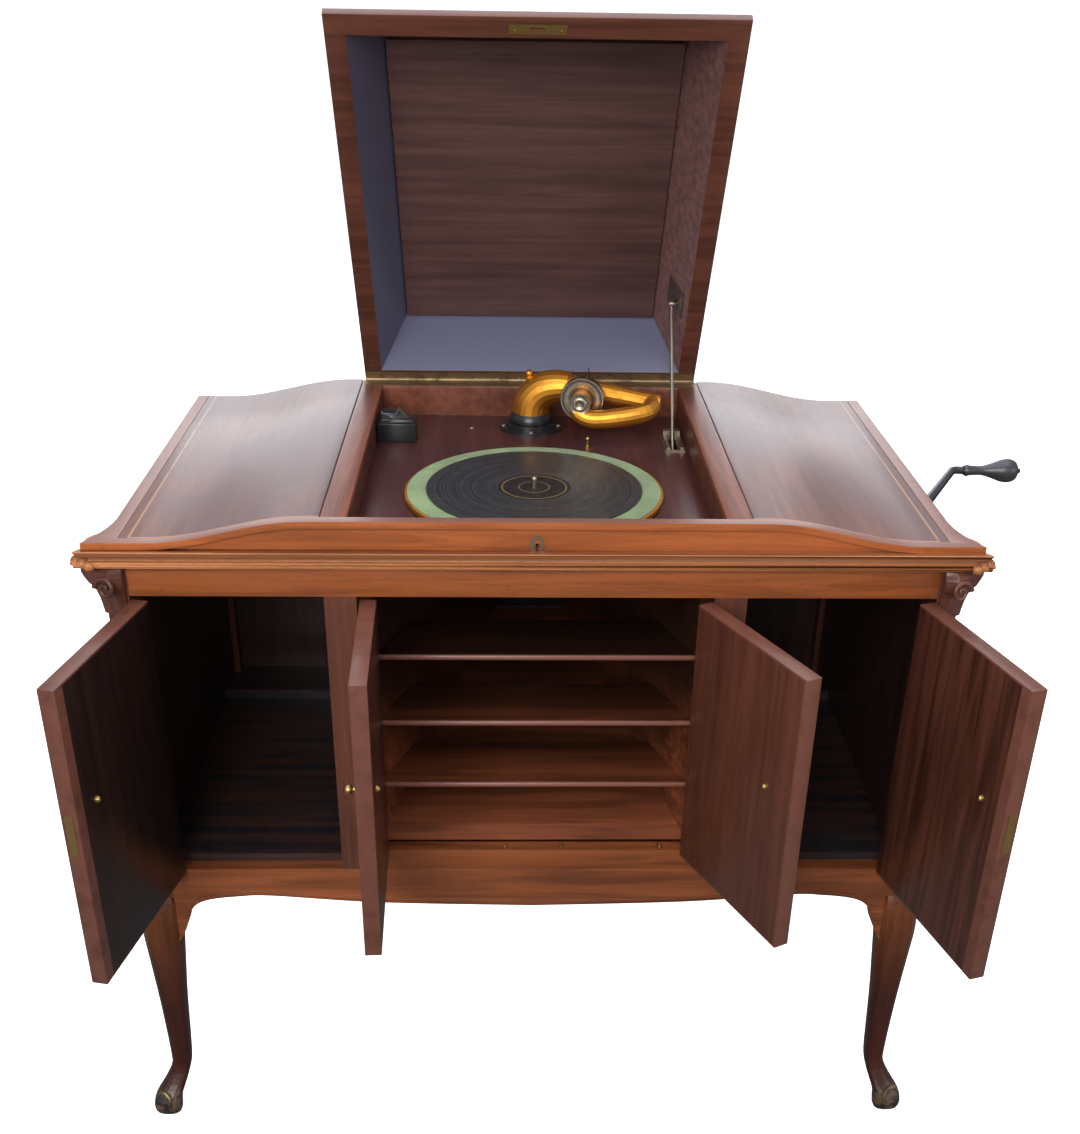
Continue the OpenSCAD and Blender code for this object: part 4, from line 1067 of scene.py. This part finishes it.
class GRAMOPHONE_OT_arm_detail(bpy.types.Operator):
    """Adds the turned rings of the sound box, the arm's collar and the needle box's clip"""

    bl_idname = "gramophone.arm_detail"
    bl_label = "Detail the tone arm"

    def execute(self, context):
        metals = context.scene.gramophone_metal
        self.silver = metal("silvered", darker(metals.nickel, 1.15), rough=0.25, dull=0.6)
        self.iron = bpy.data.materials["black_enamel"]
        self.collar()
        self.rings()
        self.clip()
        return {"FINISHED"}

    def collar(self):
        """Dark collar in which the arm's elbow turns"""
        collar = lathe("arm_collar", in_metres(ARM_COLLAR))
        low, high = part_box("tonearm_base")
        middle = (low + high) / 2
        stand(collar, (middle.x, middle.y, high.z + 0.3 * MM), UPRIGHT)
        collar.data.materials.append(self.iron)
        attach(collar, NODES["tonearm"]["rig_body"])

    def rings(self):
        """Concentric ridges on the sound box, and the cap that closes the gooseneck's barrel"""
        facing = Vector(BOX_FACING)
        axis = Vector(BOX_AXIS) * MM
        face = lathe("sound_box_rings", in_metres(BOX_RIDGES), 64)
        stand(face, axis + facing * BOX_FACE * MM, facing)
        face.data.materials.append(self.silver)
        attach(face, NODES["sound_box"]["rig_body"])
        cap = lathe("gooseneck_cap", in_metres(BARREL_CAP))
        stand(cap, axis + facing * BARREL_END * MM, facing)
        cap.data.materials.append(self.silver)
        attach(cap, NODES["gooseneck"]["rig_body"])

    def clip(self):
        """Bent nickel clip with a three-cornered opening, standing on the needle box"""
        radius, thick, bar, recess = 13 * MM, 3 * MM, 4 * MM, 2.2 * MM
        clip = disc("needle_clip", radius, 3)
        bpy.ops.mesh.extrude_region_move(TRANSFORM_OT_translate={"value": (0.0, 0.0, thick)})
        bpy.ops.mesh.inset(thickness=bar, depth=0.0)
        bpy.ops.mesh.extrude_region_move(TRANSFORM_OT_translate={"value": (0.0, 0.0, -recess)})
        close_up(clip, 30)
        low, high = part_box("needle_box")
        middle = (low + high) / 2
        place = (middle.x + 4 * MM, middle.y - 4 * MM, high.z - 4 * MM)
        stand(clip, place, (0.1, -0.55, 0.85))
        clip.data.materials.append(metal("clip_steel", CLIP_STEEL, rough=0.35, dull=0.7))
        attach(clip, NODES["needle_box"]["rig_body"])


class GRAMOPHONE_OT_stage(bpy.types.Operator):
    """Sets the floor, the soft studio light and the photograph's camera"""

    bl_idname = "gramophone.stage"
    bl_label = "Set the stage"

    def execute(self, context):
        stage = context.scene.gramophone_stage
        self.floor(colour=(0.16, 0.15, 0.15), glow=0.88)
        self.sky(colour=(0.84, 0.89, 1.0), strength=0.45)
        self.lamps()
        self.camera(context, stage)
        context.scene.view_settings.view_transform = "Standard"
        return {"FINISHED"}

    def floor(self, colour, glow):
        """Pale floor that the camera sees as white, and that throws little light up at the wood"""
        deselect()
        bpy.ops.mesh.primitive_plane_add(size=FLOOR_SIZE, location=(0, 0, 0))
        floor = bpy.context.object
        floor.name = "floor"
        f = Finish("studio_floor")
        f.set(Base_Color=(0.9, 0.9, 0.9), Roughness=0.9, Specular_IOR_Level=0.1)
        rays = f.add("ShaderNodeLightPath", {}, {}, whole=True)
        lit = f.add("ShaderNodeEmission", {}, {"Color": (1.0, 1.0, 1.0), "Strength": glow})
        white = f.add("ShaderNodeAddShader", {}, {0: Value(f, f.shader.outputs[0]), 1: lit})
        unseen = f.add("ShaderNodeBsdfDiffuse", {}, {"Color": colour})
        seen = Value(f, rays.outputs["Is Camera Ray"])
        shown = f.add("ShaderNodeMixShader", {}, {0: seen, 1: unseen, 2: white})
        f.tree.links.new(shown.socket, f.tree.nodes["Material Output"].inputs["Surface"])
        floor.data.materials.append(f.material)

    def sky(self, colour, strength):
        """Even light all round, with white behind the part where the camera looks past the floor"""
        world = bpy.data.worlds.new("studio")
        world.use_nodes = True
        tree = world.node_tree
        light = tree.nodes["Background"]
        light.inputs["Color"].default_value = (*colour, 1.0)
        light.inputs["Strength"].default_value = strength
        backdrop = tree.nodes.new("ShaderNodeBackground")
        backdrop.inputs["Color"].default_value = (1.0, 1.0, 1.0, 1.0)
        path = tree.nodes.new("ShaderNodeLightPath")
        choose = tree.nodes.new("ShaderNodeMixShader")
        tree.links.new(path.outputs["Is Camera Ray"], choose.inputs[0])
        tree.links.new(light.outputs[0], choose.inputs[1])
        tree.links.new(backdrop.outputs[0], choose.inputs[2])
        tree.links.new(choose.outputs[0], tree.nodes["World Output"].inputs["Surface"])
        bpy.context.scene.world = world

    def lamps(self):
        """Square soft lamps, each turned towards its target"""
        for name, place, target, size, power, colour in LAMPS:
            deselect()
            bpy.ops.object.light_add(type="AREA", location=place)
            lamp = bpy.context.object
            lamp.name = name
            lamp.data.size = size
            lamp.data.energy = power
            lamp.data.color = colour
            lamp.rotation_euler = (Vector(target) - Vector(place)).to_track_quat("-Z", "Y").to_euler()

    def camera(self, context, stage):
        """The photograph's camera, turned by yaw, then pitch, then roll"""
        deselect()
        bpy.ops.object.camera_add()
        camera = context.object
        camera.data.sensor_width = 36.0
        camera.data.sensor_fit = "AUTO"
        camera.data.lens = stage.lens
        camera.data.shift_x = stage.shift[0]
        camera.data.shift_y = stage.shift[1]
        camera.data.clip_end = FLOOR_SIZE
        yaw, pitch, roll = (math.radians(a) for a in (stage.yaw, stage.pitch, stage.roll))
        ahead = Vector((math.sin(yaw) * math.cos(pitch), math.cos(yaw) * math.cos(pitch), math.sin(pitch)))
        right = Vector((math.cos(yaw), -math.sin(yaw), 0.0))
        up = right.cross(ahead)
        turned = right * math.cos(roll) + up * math.sin(roll)
        up = up * math.cos(roll) - right * math.sin(roll)
        camera.rotation_euler = Matrix((turned, up, -ahead)).transposed().to_euler()
        camera.location = stage.camera
        context.scene.camera = camera


class GRAMOPHONE_PT_panel(bpy.types.Panel):
    """Lists the gramophone's operators in the sidebar"""

    bl_idname = "GRAMOPHONE_PT_panel"
    bl_label = "Gramophone"
    bl_space_type = "VIEW_3D"
    bl_region_type = "UI"
    bl_category = "Gramophone"

    def draw(self, context):
        for operator in OPERATORS:
            self.layout.operator(operator.bl_idname)
        for group in GROUPS:
            settings = getattr(context.scene, group)
            for name in settings.__annotations__:
                self.layout.prop(settings, name)


OPERATORS = (
    GRAMOPHONE_OT_finish_wood,
    GRAMOPHONE_OT_finish_metal,
    GRAMOPHONE_OT_round_edges,
    GRAMOPHONE_OT_carve,
    GRAMOPHONE_OT_arm_detail,
    GRAMOPHONE_OT_stage,
)
GROUPS = {
    "gramophone_wood": GramophoneWood,
    "gramophone_doors": GramophoneDoors,
    "gramophone_metal": GramophoneMetal,
    "gramophone_detail": GramophoneDetail,
    "gramophone_stage": GramophoneStage,
}


def register():
    for name, group in GROUPS.items():
        bpy.utils.register_class(group)
        setattr(bpy.types.Scene, name, bpy.props.PointerProperty(type=group))
    for operator in OPERATORS:
        bpy.utils.register_class(operator)
    bpy.utils.register_class(GRAMOPHONE_PT_panel)


def unregister():
    bpy.utils.unregister_class(GRAMOPHONE_PT_panel)
    for operator in reversed(OPERATORS):
        bpy.utils.unregister_class(operator)
    for name, group in GROUPS.items():
        delattr(bpy.types.Scene, name)
        bpy.utils.unregister_class(group)


def main():
    register()
    for operator in OPERATORS:
        category, name = operator.bl_idname.split(".")
        getattr(getattr(bpy.ops, category), name)()


if __name__ == "__main__":
    main()
